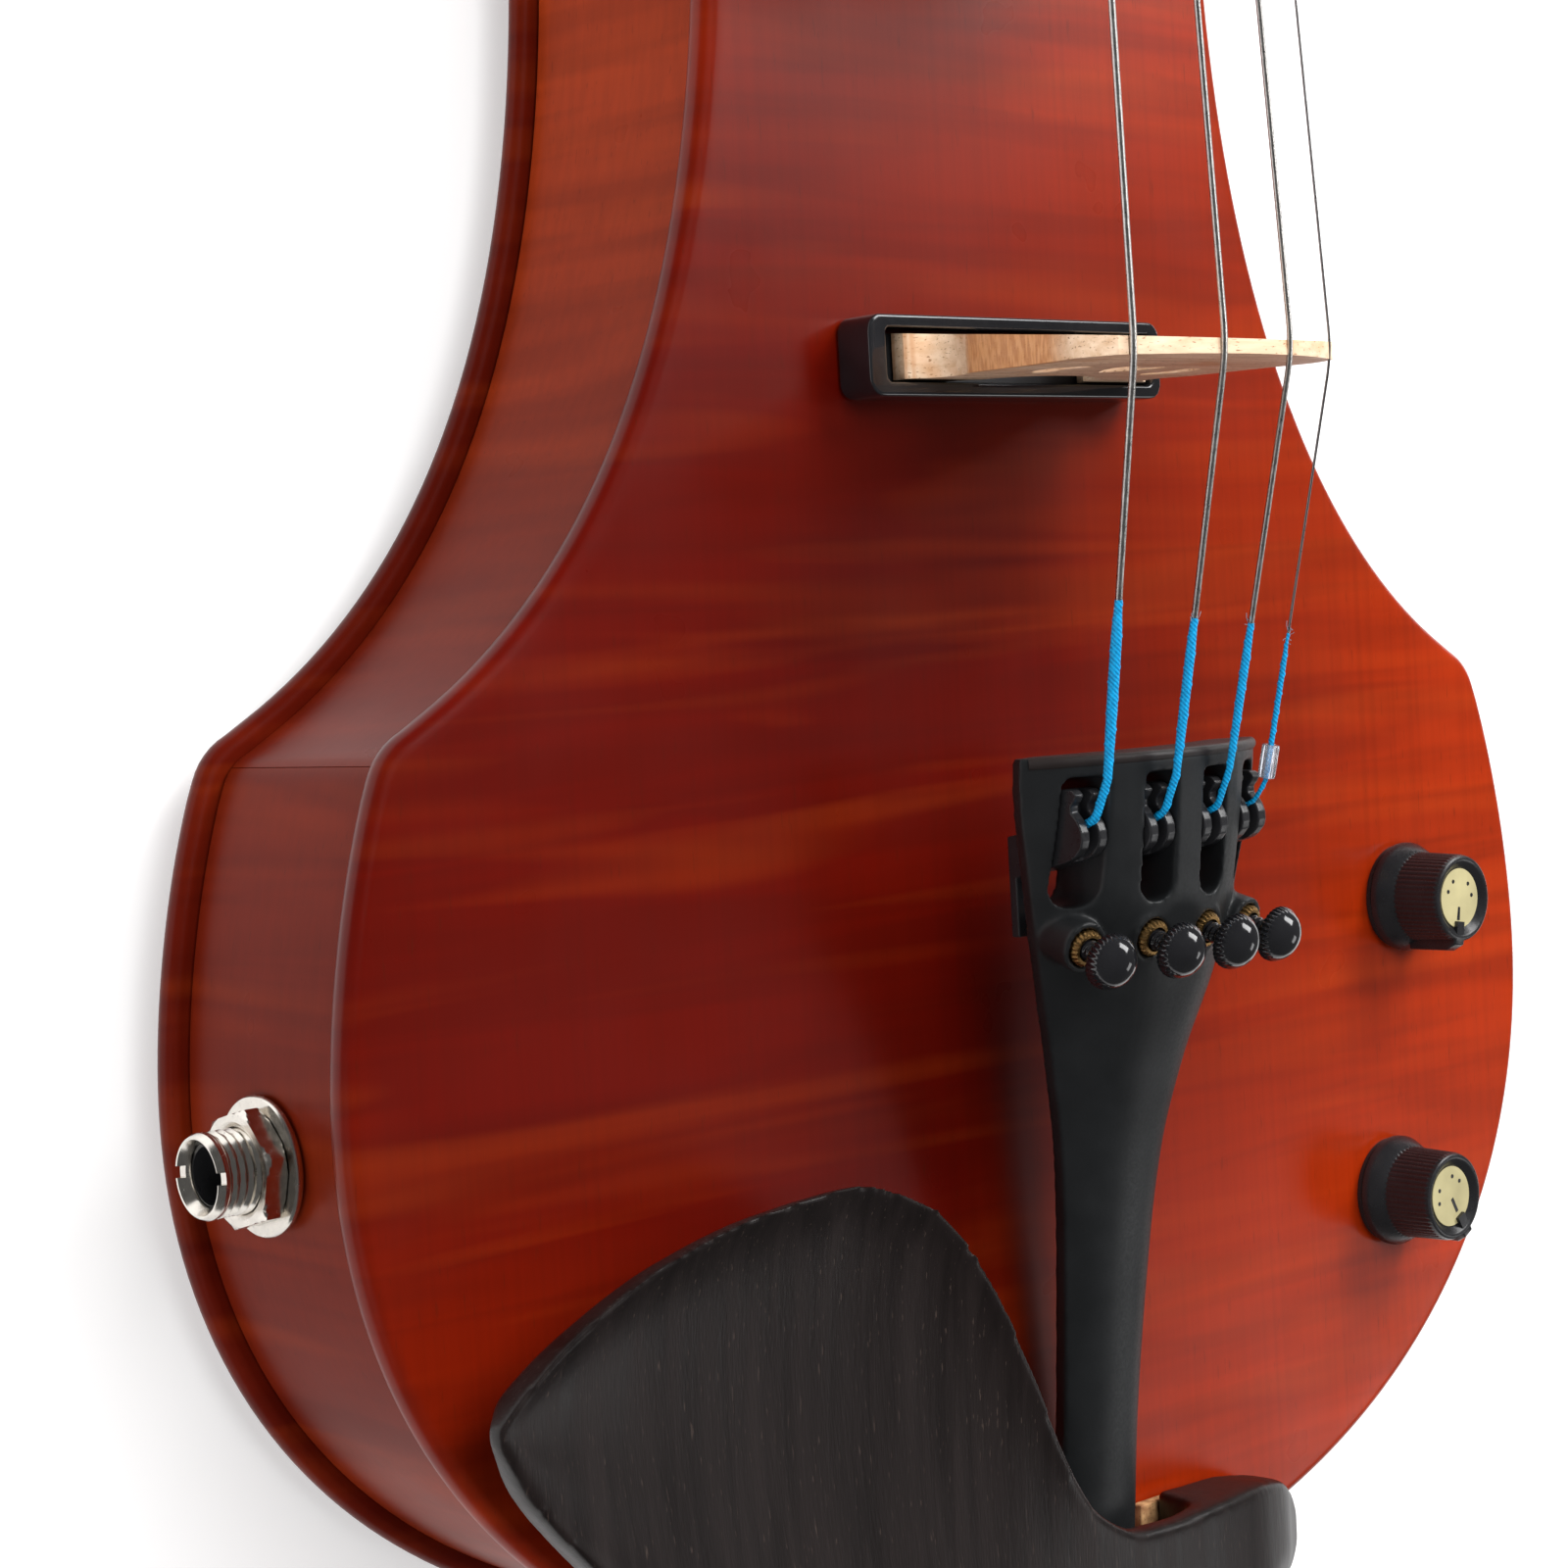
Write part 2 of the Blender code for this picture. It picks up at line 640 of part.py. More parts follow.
PICKUP_TOP_Z = TOP_Z + GAP + 2 * MM
BRIDGE_FOOT_Z = PICKUP_TOP_Z + GAP
BRIDGE_FOOT_Y = (-0.25 * MM, 5.3 * MM)
BRIDGE_CROWN_Y = (-0.75 * MM, 0.95 * MM)


def bridge_outline():
    """The treble half of the bridge as (x, height), from the arch between the feet to the crown."""
    tall = CROWN_Z - BRIDGE_FOOT_Z
    half = [(0, 9.5), (5, 8.4), (8.2, 5.2), (8.8, 3.2), (10.5, 2.2), (11, 0), (20.5, 0), (20.8, 2.6)]
    half += [(18.4, 4.4), (17.3, 6.6), (17.6, 9), (18.8, 11), (19.2, 16), (19.5, 22), (20.4, 28.4)]
    half += [(20.2, 30.4), (19.6, 32.4)]
    points = [(x * MM, y * MM) for x, y in half]
    edge = 18.6 * MM
    for k in range(8):
        x = blend(edge, 0, k / 8)
        points.append((x, tall - (CROWN_Z - crown_z(x))))
    return points


def make_bridge():
    half = bridge_outline()
    tall = CROWN_Z - BRIDGE_FOOT_Z
    loop = half + [(0, tall)] + [(-x, y) for x, y in reversed(half)][:-1]
    heart = [(0, 14), (2.4, 17), (3.6, 20), (2.6, 22), (0.9, 21.4), (0, 20)]
    heart += [(-x, y) for x, y in reversed(heart[1:-1])]
    kidney = [(9.4, 12.2), (11.6, 14.6), (11.8, 18), (9.8, 21), (8.2, 20), (9, 16.6), (8, 13.6)]
    holes = [[(x * MM, y * MM) for x, y in heart]]
    holes += [[(sign * x * MM, y * MM) for x, y in kidney] for sign in (1, -1)]
    mesh = plate_mesh(loop, 0, 1, holes)
    for vert in mesh.vertices:
        x, height, face = vert.co
        rise = height / tall
        tail = blend(BRIDGE_FOOT_Y[0], BRIDGE_CROWN_Y[0], rise)
        scroll = blend(BRIDGE_FOOT_Y[1], BRIDGE_CROWN_Y[1], rise)
        vert.co = (x, scroll if face < 0.5 else tail, BRIDGE_FOOT_Z + height)
    bm = bmesh.new()
    bm.from_mesh(mesh)
    add_object("bridge", mesh_from(bm, "bridge"), "bridge_maple")


FRAME_X = (-27 * MM, 23 * MM)
FRAME_Y = (-2.4 * MM, 7.2 * MM)
FRAME_INSIDE_X = (-24.4 * MM, 21.5 * MM)
FRAME_INSIDE_Y = (-0.7 * MM, 5.7 * MM)
FRAME_HEIGHT = 5.6 * MM


def make_bridge_frame():
    """The frame that the bridge stands in, with the pickup strip under the bridge's feet."""
    low = TOP_Z + GAP
    outer = rounded_rectangle(FRAME_X, FRAME_Y, 2 * MM)
    inner = rounded_rectangle(FRAME_INSIDE_X, FRAME_INSIDE_Y, 0.8 * MM)
    add_object("bridge_frame", plate_mesh(outer, low, low + FRAME_HEIGHT, [inner]), "black_plastic")
    inset = 0.4 * MM
    pickup = box_mesh(
        (FRAME_INSIDE_X[0] + inset, FRAME_INSIDE_Y[0] + inset, low),
        (FRAME_INSIDE_X[1] - inset, FRAME_INSIDE_Y[1] - inset, PICKUP_TOP_Z),
    )
    add_object("bridge_pickup", pickup, "ceramic")


def rounded_rectangle(span_x, span_y, radius, steps=3):
    points = []
    corners = (
        (span_x[1] - radius, span_y[1] - radius, 0),
        (span_x[0] + radius, span_y[1] - radius, 90),
        (span_x[0] + radius, span_y[0] + radius, 180),
        (span_x[1] - radius, span_y[0] + radius, 270),
    )
    for x, y, start in corners:
        for k in range(steps + 1):
            turn = math.radians(start + 90 * k / steps)
            points.append((x + radius * math.cos(turn), y + radius * math.sin(turn)))
    return points


STRINGS = ("g", "d", "a", "e")


def string_x(string, spacing):
    return (STRINGS.index(string) - 1.5) * spacing


def string_anchor(string):
    """The end of a string in its lever's fork, and the bend where it leaves the fork."""
    x = string_x(string, STRING_SPACING_TAIL)
    crown = tail_bed(x, TUNER_PIVOT_Y)
    bend = (6.1 * MM, 6.2 * MM) if string == "e" else (8.2 * MM, 6.6 * MM)
    places = ((3.0 * MM, 2.8 * MM), (3.8 * MM, 4.5 * MM), bend)
    return [Vector((x, TUNER_PIVOT_Y + ahead, crown + rise)) for ahead, rise in places]


def make_strings():
    for string in STRINGS:
        radius = STRING_RADII[string]
        lift = radius + GAP
        x = string_x(string, STRING_SPACING_BRIDGE)
        crown = Vector((x, 0, crown_z(x) + lift))
        nut_x = string_x(string, STRING_SPACING_NUT)
        nut_top = BOARD_NUT_Z + 0.35 * MM - CROWN_RADIUS + math.sqrt(CROWN_RADIUS**2 - nut_x**2)
        nut = Vector((nut_x, NUT_Y + 1 * MM, nut_top + lift + 0.1 * MM))
        peg, _ = peg_axis(string)
        peg_x = nut_x * 0.45
        end = Vector((peg_x, peg.y - 1 * MM, peg.z + 3.6 * MM + lift + 0.6 * MM))
        behind = nut + Vector((0, 4.6 * MM, -0.6 * MM))
        ahead = crown + Vector((0, 1.2 * MM, 0)) + (nut - crown).normalized() * 1 * MM
        path = [*string_anchor(string), crown + Vector((0, -1.2 * MM, -0.15 * MM)), ahead, nut, behind, end]
        add_object(f"string_{string}", tube_mesh(path, radius, 1), "steel")


# ---------------------------------------------------------------- tailpiece and fine tuners

TAIL_SIDE_THICKNESS = 1.7 * MM
BOSS_RADIUS = 3.1 * MM
BOSS_HEIGHTS = {"g": 4.2 * MM, "d": 3.3 * MM, "a": 3.3 * MM, "e": 4.2 * MM}  # over the bed

# Along the tailpiece, in mm: y, half width, and over the top plate the height of the side edges. Then, over
# the edges, the rise of the bed that the tuners are set out from, its depth to the underside, and the crown.
TAIL_STATIONS = (
    (-45, 20.5, 20.1, 4.0, 4.6, 7.8),
    (-47, 20.5, 19.9, 4.2, 5.0, 8.2),
    (-60, 18.3, 18.4, 4.4, 5.0, 8.2),
    (-72, 15.1, 16.4, 4.4, 4.6, 7.4),
    (-83, 11.4, 14.0, 3.6, 4.4, 5.6),
    (-94, 8.8, 12.2, 2.8, 4.2, 4.0),
    (-106, 7.6, 10.6, 2.4, 4.0, 3.2),
    (-130, 6.6, 7.8, 2.0, 3.8, 2.4),
    (-143, 6.8, 6.4, 1.8, 3.6, 2.0),
    (-147, 6.0, 6.0, 1.4, 3.2, 1.4),
)


def tail_value(y, column):
    pairs = sorted((row[0] * MM, row[column] * MM) for row in TAIL_STATIONS)
    return table(pairs, y)


def tail_bed(x, y):
    """Height of the bed that the tuners are set out from."""
    part = min(1, abs(x) / tail_value(y, 1))
    return TOP_Z + tail_value(y, 2) + tail_value(y, 3) * (1 - part**2)


def tail_face(x, y):
    """Height of the tailpiece's upper face."""
    part = min(1, abs(x) / tail_value(y, 1))
    return TOP_Z + tail_value(y, 2) + tail_value(y, 5) * (1 - part**2.4)


def make_tailpiece():
    """A crowned plate with thin sides, a slot and a boss for each tuner, and holes for the tail cord."""
    rows = []
    for station in TAIL_STATIONS:
        y, width, _, _, thick, _ = (value * MM for value in station)
        row = []
        for k in range(11):
            x = -width * math.cos(math.pi * k / 10)
            thickness = blend(thick, TAIL_SIDE_THICKNESS, smoothstep(abs(x) / width * 4 - 3))
            row.append(((x * 0.97, y, tail_bed(x, y) - thickness), (x, y, tail_face(x, y))))
        rows.append(row)
    tail = add_object("tailpiece", sheet_mesh(rows), "black_composite")
    for string in STRINGS:
        foot, away = screw_axis(string)
        boss = cylinder_mesh(foot - away * 3 * MM, foot + away * BOSS_HEIGHTS[string], BOSS_RADIUS, sides=18)
        boolean(tail, boss, "UNION")
        boolean(tail, cylinder_mesh(foot - away * 9 * MM, foot + away * 9 * MM, 2.5 * MM, sides=18))
        x = string_x(string, STRING_SPACING_TAIL)
        slot = rounded_rectangle((x - 2.6 * MM, x + 2.6 * MM), (-61.7 * MM, -47.45 * MM), 1.3 * MM)
        boolean(tail, plate_mesh(slot, TOP_Z + 8 * MM, TOP_Z + 32 * MM))
    gut_hole = [Vector((0, y * MM, tail_hole_z(y * MM))) for y in (-134, -150)]
    for sign in (-1, 1):
        offset = Vector((sign * 3.1 * MM, 0, 0))
        boolean(tail, cylinder_mesh(gut_hole[0] + offset, gut_hole[1] + offset, 1.25 * MM, sides=10))


def tail_hole_z(y):
    return TOP_Z + tail_value(y, 2) + tail_value(y, 3) * 0.6 - tail_value(y, 4) * 0.5


def screw_axis(string):
    """The point where a tuner's screw passes the tuners' bed, and its direction."""
    x = string_x(string, STRING_SPACING_TAIL)
    foot = Vector((x * 0.97, TUNER_SCREW_Y, tail_bed(x * 0.97, TUNER_SCREW_Y)))
    fan = math.tan(math.radians(TUNER_SCREW_FANS[string]))
    return foot, Vector((fan, -math.tan(TUNER_SCREW_TILT), 1)).normalized()


SCREW_RADIUS = 1.25 * MM
SCREW_REACH = 5.4 * MM  # below the bed
SCREW_SHOWING = 3.3 * MM  # between the boss and the head
FORK_SLIT = 1.5 * MM
LEVER_HALF_WIDTH = 2.2 * MM
ARM_HALF_WIDTH = 1.1 * MM
ARM_THICKNESS = 1.3 * MM


def make_tuners():
    for string in STRINGS:
        foot, away = screw_axis(string)
        low, high = -4.4 * MM, BOSS_HEIGHTS[string] + 0.7 * MM
        sleeve = [(1.55 * MM, low), (2.2 * MM, low), (2.2 * MM, high), (1.55 * MM, high)]
        insert = turned_mesh(sleeve, foot, away, sides=16, ring_shaped=True)
        add_object(f"tuner_insert_{string}", insert, "brass")
        head_base = BOSS_HEIGHTS[string] + SCREW_SHOWING
        profile = [(0, -SCREW_REACH), (SCREW_RADIUS, -SCREW_REACH), (SCREW_RADIUS, head_base)]
        head = [(2.2, 0.1), (3.3, 0.5), (3.4, 1.7), (2.6, 3.1), (1.3, 3.7), (0, 3.9)]
        profile += [(radius * MM, head_base + height * MM) for radius, height in head]
        screw = turned_mesh(profile, foot, away, sides=20)
        add_object(f"tuner_screw_{string}", screw, "black_metal", foot)
        make_lever(string)


def make_lever(string):
    """A bent lever: a fork above the slot, a pivot in it and an arm under the screw's tip."""
    x = string_x(string, STRING_SPACING_TAIL)
    foot, away = screw_axis(string)
    tip = foot - away * SCREW_REACH
    top = tail_bed(x, TUNER_PIVOT_Y)
    pivot_z = top - 3.2 * MM
    fork = [(7.3, 0.4), (7.3, 3.0), (6.6, 3.6), (5.4, 2.6), (4.7, 2.5), (3.6, 3.6), (1.9, 4.2), (0.5, 4.0)]
    fork += [(-0.5, 3.0), (-1.2, 1.5)]
    side = [(TUNER_PIVOT_Y + y * MM, top + z * MM) for y, z in fork]
    arm_top = tip.z - 0.5 * MM
    side += [
        (TUNER_PIVOT_Y - 2.4 * MM, pivot_z),
        (TUNER_PIVOT_Y - 3.2 * MM, arm_top),
        (tip.y - 1.8 * MM, arm_top),
        (tip.y - 1.8 * MM, arm_top - ARM_THICKNESS),
        (TUNER_PIVOT_Y + 1.6 * MM, arm_top - ARM_THICKNESS),
        (TUNER_PIVOT_Y + 2.6 * MM, pivot_z),
    ]
    mesh = plate_mesh(side, x - LEVER_HALF_WIDTH, x + LEVER_HALF_WIDTH)
    # The outline was drawn as (y, z) and extruded along x.
    for vert in mesh.vertices:
        vert.co = (vert.co.z, vert.co.x, vert.co.y)
    lever = add_object(f"tuner_lever_{string}", mesh, "black_metal", (x, TUNER_PIVOT_Y, pivot_z))
    low = (x - FORK_SLIT / 2, TUNER_PIVOT_Y - 4 * MM, top + 1.2 * MM)
    boolean(lever, box_mesh(low, (x + FORK_SLIT / 2, TUNER_PIVOT_Y + 9 * MM, top + 8 * MM)))
    for sign in (-1, 1):
        inner, outer = sorted((x + sign * ARM_HALF_WIDTH, x + sign * 2 * LEVER_HALF_WIDTH))
        low = (inner, tip.y - 4 * MM, arm_top - 4 * MM)
        boolean(lever, box_mesh(low, (outer, TUNER_PIVOT_Y + 9 * MM, pivot_z - 1.2 * MM)))


SADDLE_TOP_Z = TOP_Z + 2.8 * MM


def make_tail_hardware():
    saddle_low = (-12 * MM, BODY_BOTTOM_Y + 1.5 * MM, TOP_Z + GAP)
    add_object("saddle", box_mesh(saddle_low, (12 * MM, BODY_BOTTOM_Y + 6 * MM, SADDLE_TOP_Z)), "ebony")
    button_face = BODY_BOTTOM_Y + EDGE_OVERHANG
    profile = [
        (0, 0),
        (3.2 * MM, 0),
        (3.4 * MM, 16 * MM),
        (6.5 * MM, 16.6 * MM),
        (7.2 * MM, 18 * MM),
        (5.6 * MM, 19.5 * MM),
        (5.2 * MM, 21 * MM),
        (7.4 * MM, 22.6 * MM),
        (7.8 * MM, 24.6 * MM),
        (5.4 * MM, 27 * MM),
        (0, 27.6 * MM),
    ]
    mesh = turned_mesh(profile, (0, button_face + 16 * MM, JACK_Z), (0, -1, 0), sides=20)
    add_object("end_button", mesh, "ebony")
    for side in ("bass", "treble"):
        outside, inside = BODY_BOTTOM_Y - 4 * MM, BODY_BOTTOM_Y + 12 * MM
        hole = cylinder_mesh((0, outside, JACK_Z), (0, inside, JACK_Z), 3.8 * MM)
        boolean(bpy.data.objects[f"{side}_lower_rib"], hole)


TAIL_CORD_RADIUS = 1 * MM


def make_tailgut():
    """A loop of tail cord: out of the tailpiece, over the saddle, and round the end button's groove."""
    start_y = TAIL_END_Y - 0.6 * MM
    high = tail_hole_z(TAIL_END_Y)
    over = SADDLE_TOP_Z + TAIL_CORD_RADIUS + GAP
    edge = BODY_BOTTOM_Y - 1.7 * MM
    button_y = BODY_BOTTOM_Y + EDGE_OVERHANG - 4.2 * MM
    right = [
        (3.1 * MM, start_y, high),
        (3.1 * MM, BODY_BOTTOM_Y + 4 * MM, over),
        (3.2 * MM, BODY_BOTTOM_Y + 1.2 * MM, over - 0.1 * MM),
        (3.6 * MM, edge, TOP_Z - 1.5 * MM),
        (4.6 * MM, edge - 0.4 * MM, TOP_Z - 8 * MM),
    ]
    loop = []
    radius = 6.8 * MM
    for k in range(9):
        turn = math.radians(20 - 220 * k / 8)
        loop.append((radius * math.cos(turn), button_y, JACK_Z + radius * math.sin(turn)))
    left = [(-x, y, z) for x, y, z in reversed(right)]
    path = [*right, *loop, *left]
    add_object("tailgut", tube_mesh(path, TAIL_CORD_RADIUS, 1), "black_cord")


# ---------------------------------------------------------------- controls and jack


KNOB_TOP_Z = TOP_Z + 11 * MM
SHAFT_RADIUS = 3 * MM


def make_controls():
    """For each control: the pot under the top plate, its shaft, and the fluted knob on the shaft."""
    up = (0, 0, 1)
    for name, (x, y) in KNOBS.items():
        place = (x, y, 0)
        axis_point = (x, y, TOP_Z)
        inside = TOP_Z - TOP_THICKNESS - GAP
        pot = [
            (0, inside - 9.5 * MM),
            (8 * MM, inside - 9.5 * MM),
            (8 * MM, inside - 1 * MM),
            (5.6 * MM, inside - 1 * MM),
            (5.6 * MM, inside),
            (3.9 * MM, inside),
            (3.9 * MM, TOP_Z + 0.4 * MM),
            (SHAFT_RADIUS + 0.3 * MM, TOP_Z + 0.4 * MM),
            (SHAFT_RADIUS + 0.3 * MM, inside - 4 * MM),
            (0, inside - 4 * MM),
        ]
        add_object(f"{name}_pot", turned_mesh(pot, place, up, sides=18), "nickel")
        shaft = [
            (0, inside - 3.6 * MM),
            (SHAFT_RADIUS, inside - 3.6 * MM),
            (SHAFT_RADIUS, KNOB_TOP_Z - 3.4 * MM),
            (0, KNOB_TOP_Z - 3.4 * MM),
        ]
        add_object(f"{name}_shaft", turned_mesh(shaft, place, up, sides=12), "nickel", axis_point)
        low = TOP_Z + 0.8 * MM
        knob = [
            (0, KNOB_TOP_Z - 3.1 * MM),
            (SHAFT_RADIUS + GAP, KNOB_TOP_Z - 3.1 * MM),
            (SHAFT_RADIUS + GAP, low),
            (7.5 * MM, low),
            (7.5 * MM, low + 1.2 * MM),
            (6.3 * MM, low + 3.0 * MM),
            (6.0 * MM, KNOB_TOP_Z - 0.5 * MM),
            (5.5 * MM, KNOB_TOP_Z),
            (0, KNOB_TOP_Z),
        ]
        add_object(f"{name}_knob", turned_mesh(knob, place, up, sides=28), "black_plastic", axis_point)


def make_jack():
    """The output socket: a threaded barrel through the rib with its housing inside, a washer and a nut."""
    face = -LOWER_HALF_WIDTH + EDGE_OVERHANG - 0.35 * MM
    start = (face, JACK_Y, JACK_Z)
    out = (-1, 0, 0)
    washer = [(5.0 * MM, 0), (7.7 * MM, 0), (7.7 * MM, 0.9 * MM), (5.0 * MM, 0.9 * MM)]
    add_object("jack_washer", turned_mesh(washer, start, out, sides=24, ring_shaped=True), "nickel")
    bore = 5.0 * MM / math.cos(math.radians(30))
    nut = [(bore, 1.2 * MM), (6.9 * MM, 1.2 * MM), (6.9 * MM, 3.6 * MM), (bore, 3.6 * MM)]
    add_object("jack_nut", turned_mesh(nut, start, out, sides=6, ring_shaped=True), "nickel")
    socket = [
        (3.4 * MM, 8.4 * MM),
        (4.2 * MM, 8.4 * MM),
        (4.7 * MM, 7.9 * MM),
        (4.7 * MM, -4.2 * MM),
        (8 * MM, -4.2 * MM),
        (8 * MM, -24 * MM),
        (3.4 * MM, -24 * MM),
    ]
    mesh = turned_mesh(list(reversed(socket)), start, out, sides=20, ring_shaped=True)
    add_object("jack_socket", mesh, "nickel")


# ---------------------------------------------------------------- chinrest and its clamp

# Across the chinrest, in mm: x, scroll-side y, tail-side y, and heights of rim, dish and foot over the top.
CHIN_STATIONS = (
    (-94.0, -108.0, -109.5, 14.0, 13.6, 11.5),
    (-90.0, -104.4, -116.5, 15.0, 13.0, 8.5),
    (-84.0, -100.2, -124.0, 15.8, 12.2, 7.0),
    (-72.0, -94.4, -136.5, 17.2, 11.2, 5.0),
    (-59.0, -91.2, -148.5, 18.2, 11.0, 4.2),
    (-46.0, -90.2, -157.0, 18.6, 11.4, 4.0),
    (-35.0, -94.0, -162.0, 18.6, 12.2, 4.0),
    (-27.0, -102.0, -164.4, 18.0, 13.0, 4.0),
    (-19.0, -116.0, -166.0, 17.0, 13.8, 6.5),
    (-13.0, -128.5, -166.8, 15.8, 14.0, 10.2),
    (-7.0, -136.5, -167.2, 14.6, 14.0, 10.4),
    (1.0, -140.4, -167.4, 14.0, 13.8, 10.2),
    (9.0, -140.8, -167.0, 13.6, 13.6, 10.0),
    (13.5, -140.6, -166.4, 13.2, 13.2, 9.4),
    (15.5, -140.6, -166.0, 13.0, 13.0, 2.3),
    (24.0, -140.8, -164.0, 11.4, 11.6, 2.3),
    (33.0, -142.4, -157.6, 8.2, 8.4, 2.3),
    (38.5, -145.6, -156.4, 5.4, 5.4, 2.3),
    (41.3, -149.0, -153.6, 4.0, 3.6, 2.3),
)
CHIN_LEG_X = 15  # the leg stands on its cork pad from here to the end of the arm
CLAMP_SEAT_Y = -157.4  # outside the ribs, where the clamp is screwed on
CLAMP_SEAT_HEIGHT = 6.8


def chin_section(x, scroll, tail, rim, dish, foot):
    """A ring across the chinrest: the dished top from the scroll side, then the undercut underside back."""
    points = []
    slope = min(2.5, (rim - foot) * 0.35)
    for k in range(9):
        part = k / 8
        y = blend(scroll, tail, 0.5 - 0.5 * math.cos(math.pi * part))
        shallow = math.sin(math.pi * min(1, part * 1.15)) ** 0.8
        edge = min(1.6, (rim - foot) * 0.4) if k in (0, 8) else 0
        points.append((y, blend(rim, dish, shallow) - slope * smoothstep((part - 0.55) / 0.45) - edge))
    outside = tail < CLAMP_SEAT_Y - 1
    raised = max(foot, CLAMP_SEAT_HEIGHT) if outside else foot
    step = CLAMP_SEAT_Y if outside else blend(tail, scroll, 0.3)
    edge_low = foot if x > CHIN_LEG_X else max(foot, rim - 5)
    points += [(blend(tail, step, 0.15), raised), (step, raised), (step + 0.8, foot)]
    points += [(blend(step, scroll, part), foot) for part in (0.5, 0.8)]
    points.append((blend(step, scroll, 0.985), edge_low))
    return [(x * MM, y * MM, TOP_Z + z * MM) for y, z in points]


def make_chinrest():
    sections = [chin_section(*station) for station in CHIN_STATIONS]
    add_object("chinrest", loft_mesh(sections), "ebony")
    pad = [(12.8, -142.2), (12.8, -150.2), (25, -149), (36, -147.4), (34, -144.4), (24, -142.2)]
    outline = [(x * MM, y * MM) for x, y in pad]
    add_object("chinrest_cork", plate_mesh(outline, TOP_Z + GAP, TOP_Z + 2 * MM), "cork")


CLAMP_MIDDLE_Z = 26 * MM
CLAMP_BAR_Z = TOP_Z + 4.6 * MM
HOOK_PLATE_Z = 1.7 * MM
POST_RADIUS = 1.9 * MM
BARREL_HALF = 12.5 * MM


def clamp_bracket(name, span_y, low, high, post_end):
    """A plate across both posts, joined to them. The posts run from it to the given height."""
    reach = POST_X + 3.2 * MM
    outline = rounded_rectangle((-reach, reach), span_y, 2 * MM)
    bracket = add_object(name, plate_mesh(outline, low, high), "nickel")
    middle = (low + high) / 2
    for side in (-1, 1):
        start, end = sorted((middle, post_end))
        x = side * POST_X
        boolean(bracket, cylinder_mesh((x, POST_Y, start), (x, POST_Y, end), POST_RADIUS, sides=12), "UNION")


def make_clamp():
    """The chinrest's clamp: a bracket under it, a hook under the back, and two turnbuckle barrels."""
    half_gap = 1.2 * MM
    bar_y = (POST_Y - 3 * MM, POST_Y + 3 * MM)
    clamp_bracket("chinrest_bracket", bar_y, CLAMP_BAR_Z, CLAMP_BAR_Z + 1.6 * MM, CLAMP_MIDDLE_Z + half_gap)
    hook_y = (POST_Y - 3.2 * MM, BODY_BOTTOM_Y + 7 * MM)
    clamp_bracket("chinrest_hook", hook_y, HOOK_PLATE_Z, HOOK_PLATE_Z + 2 * MM, CLAMP_MIDDLE_Z - half_gap)
    bore = POST_RADIUS + GAP
    wall = 3.1 * MM
    tube = [(bore, -BARREL_HALF), (wall, -BARREL_HALF), (wall, BARREL_HALF), (bore, BARREL_HALF)]
    for side, sign in (("bass", -1), ("treble", 1)):
        place = (sign * POST_X, POST_Y, CLAMP_MIDDLE_Z)
        mesh = turned_mesh(tube, place, (0, 0, 1), sides=14, ring_shaped=True)
        add_object(f"chinrest_barrel_{side}", mesh, "nickel", place)


def make_string_sleeve():
    """The clear sleeve on the top string, just above its tuner."""
    bend = string_anchor("e")[-1]
    x = string_x("e", STRING_SPACING_BRIDGE)
    away = (Vector((x, 0, crown_z(x))) - bend).normalized()
    sleeve = [(0.5 * MM, 0), (1.05 * MM, 0), (1.05 * MM, 4 * MM), (0.5 * MM, 4 * MM)]
    mesh = turned_mesh(sleeve, bend + away * 0.3 * MM, away, sides=10, ring_shaped=True)
    add_object("string_sleeve_e", mesh, "clear_plastic")


def main():
    make_top_plate()
    make_back_plate()
    make_ribs()
    make_blocks()
    make_fingerboard()
    make_nut()
    make_neck()
    make_pegs()
    make_bridge()
    make_bridge_frame()
    make_strings()
    make_tailpiece()
    make_tuners()
    make_tail_hardware()
    make_tailgut()
    make_string_sleeve()
    make_controls()
    make_jack()
    make_chinrest()
    make_clamp()


main()
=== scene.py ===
"""The looks of the electric violin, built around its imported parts.

Lengths are in metres in the frame of the parts: +X to the treble side, +Y to the scroll, +Z out of the top.
"""

import math
import random

import bmesh
import bpy
from mathutils import Matrix, Vector, geometry


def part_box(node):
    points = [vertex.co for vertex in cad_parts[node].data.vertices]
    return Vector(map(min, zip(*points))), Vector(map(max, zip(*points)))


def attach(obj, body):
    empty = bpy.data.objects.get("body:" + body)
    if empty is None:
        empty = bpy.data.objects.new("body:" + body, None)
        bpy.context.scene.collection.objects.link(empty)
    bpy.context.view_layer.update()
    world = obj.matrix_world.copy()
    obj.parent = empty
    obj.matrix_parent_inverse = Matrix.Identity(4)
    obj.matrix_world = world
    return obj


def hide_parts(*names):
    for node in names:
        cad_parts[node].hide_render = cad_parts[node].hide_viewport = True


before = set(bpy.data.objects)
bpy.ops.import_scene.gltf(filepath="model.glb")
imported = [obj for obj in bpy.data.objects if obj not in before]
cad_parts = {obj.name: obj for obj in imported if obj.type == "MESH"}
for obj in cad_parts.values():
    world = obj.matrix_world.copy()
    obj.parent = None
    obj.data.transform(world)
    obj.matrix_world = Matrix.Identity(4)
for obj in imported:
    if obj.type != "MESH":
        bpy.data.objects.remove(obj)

MM = 0.001
SCENE = bpy.context.scene
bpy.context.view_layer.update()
STRINGS = ("g", "d", "a", "e")

# ---------------------------------------------------------------- sizes from the frame

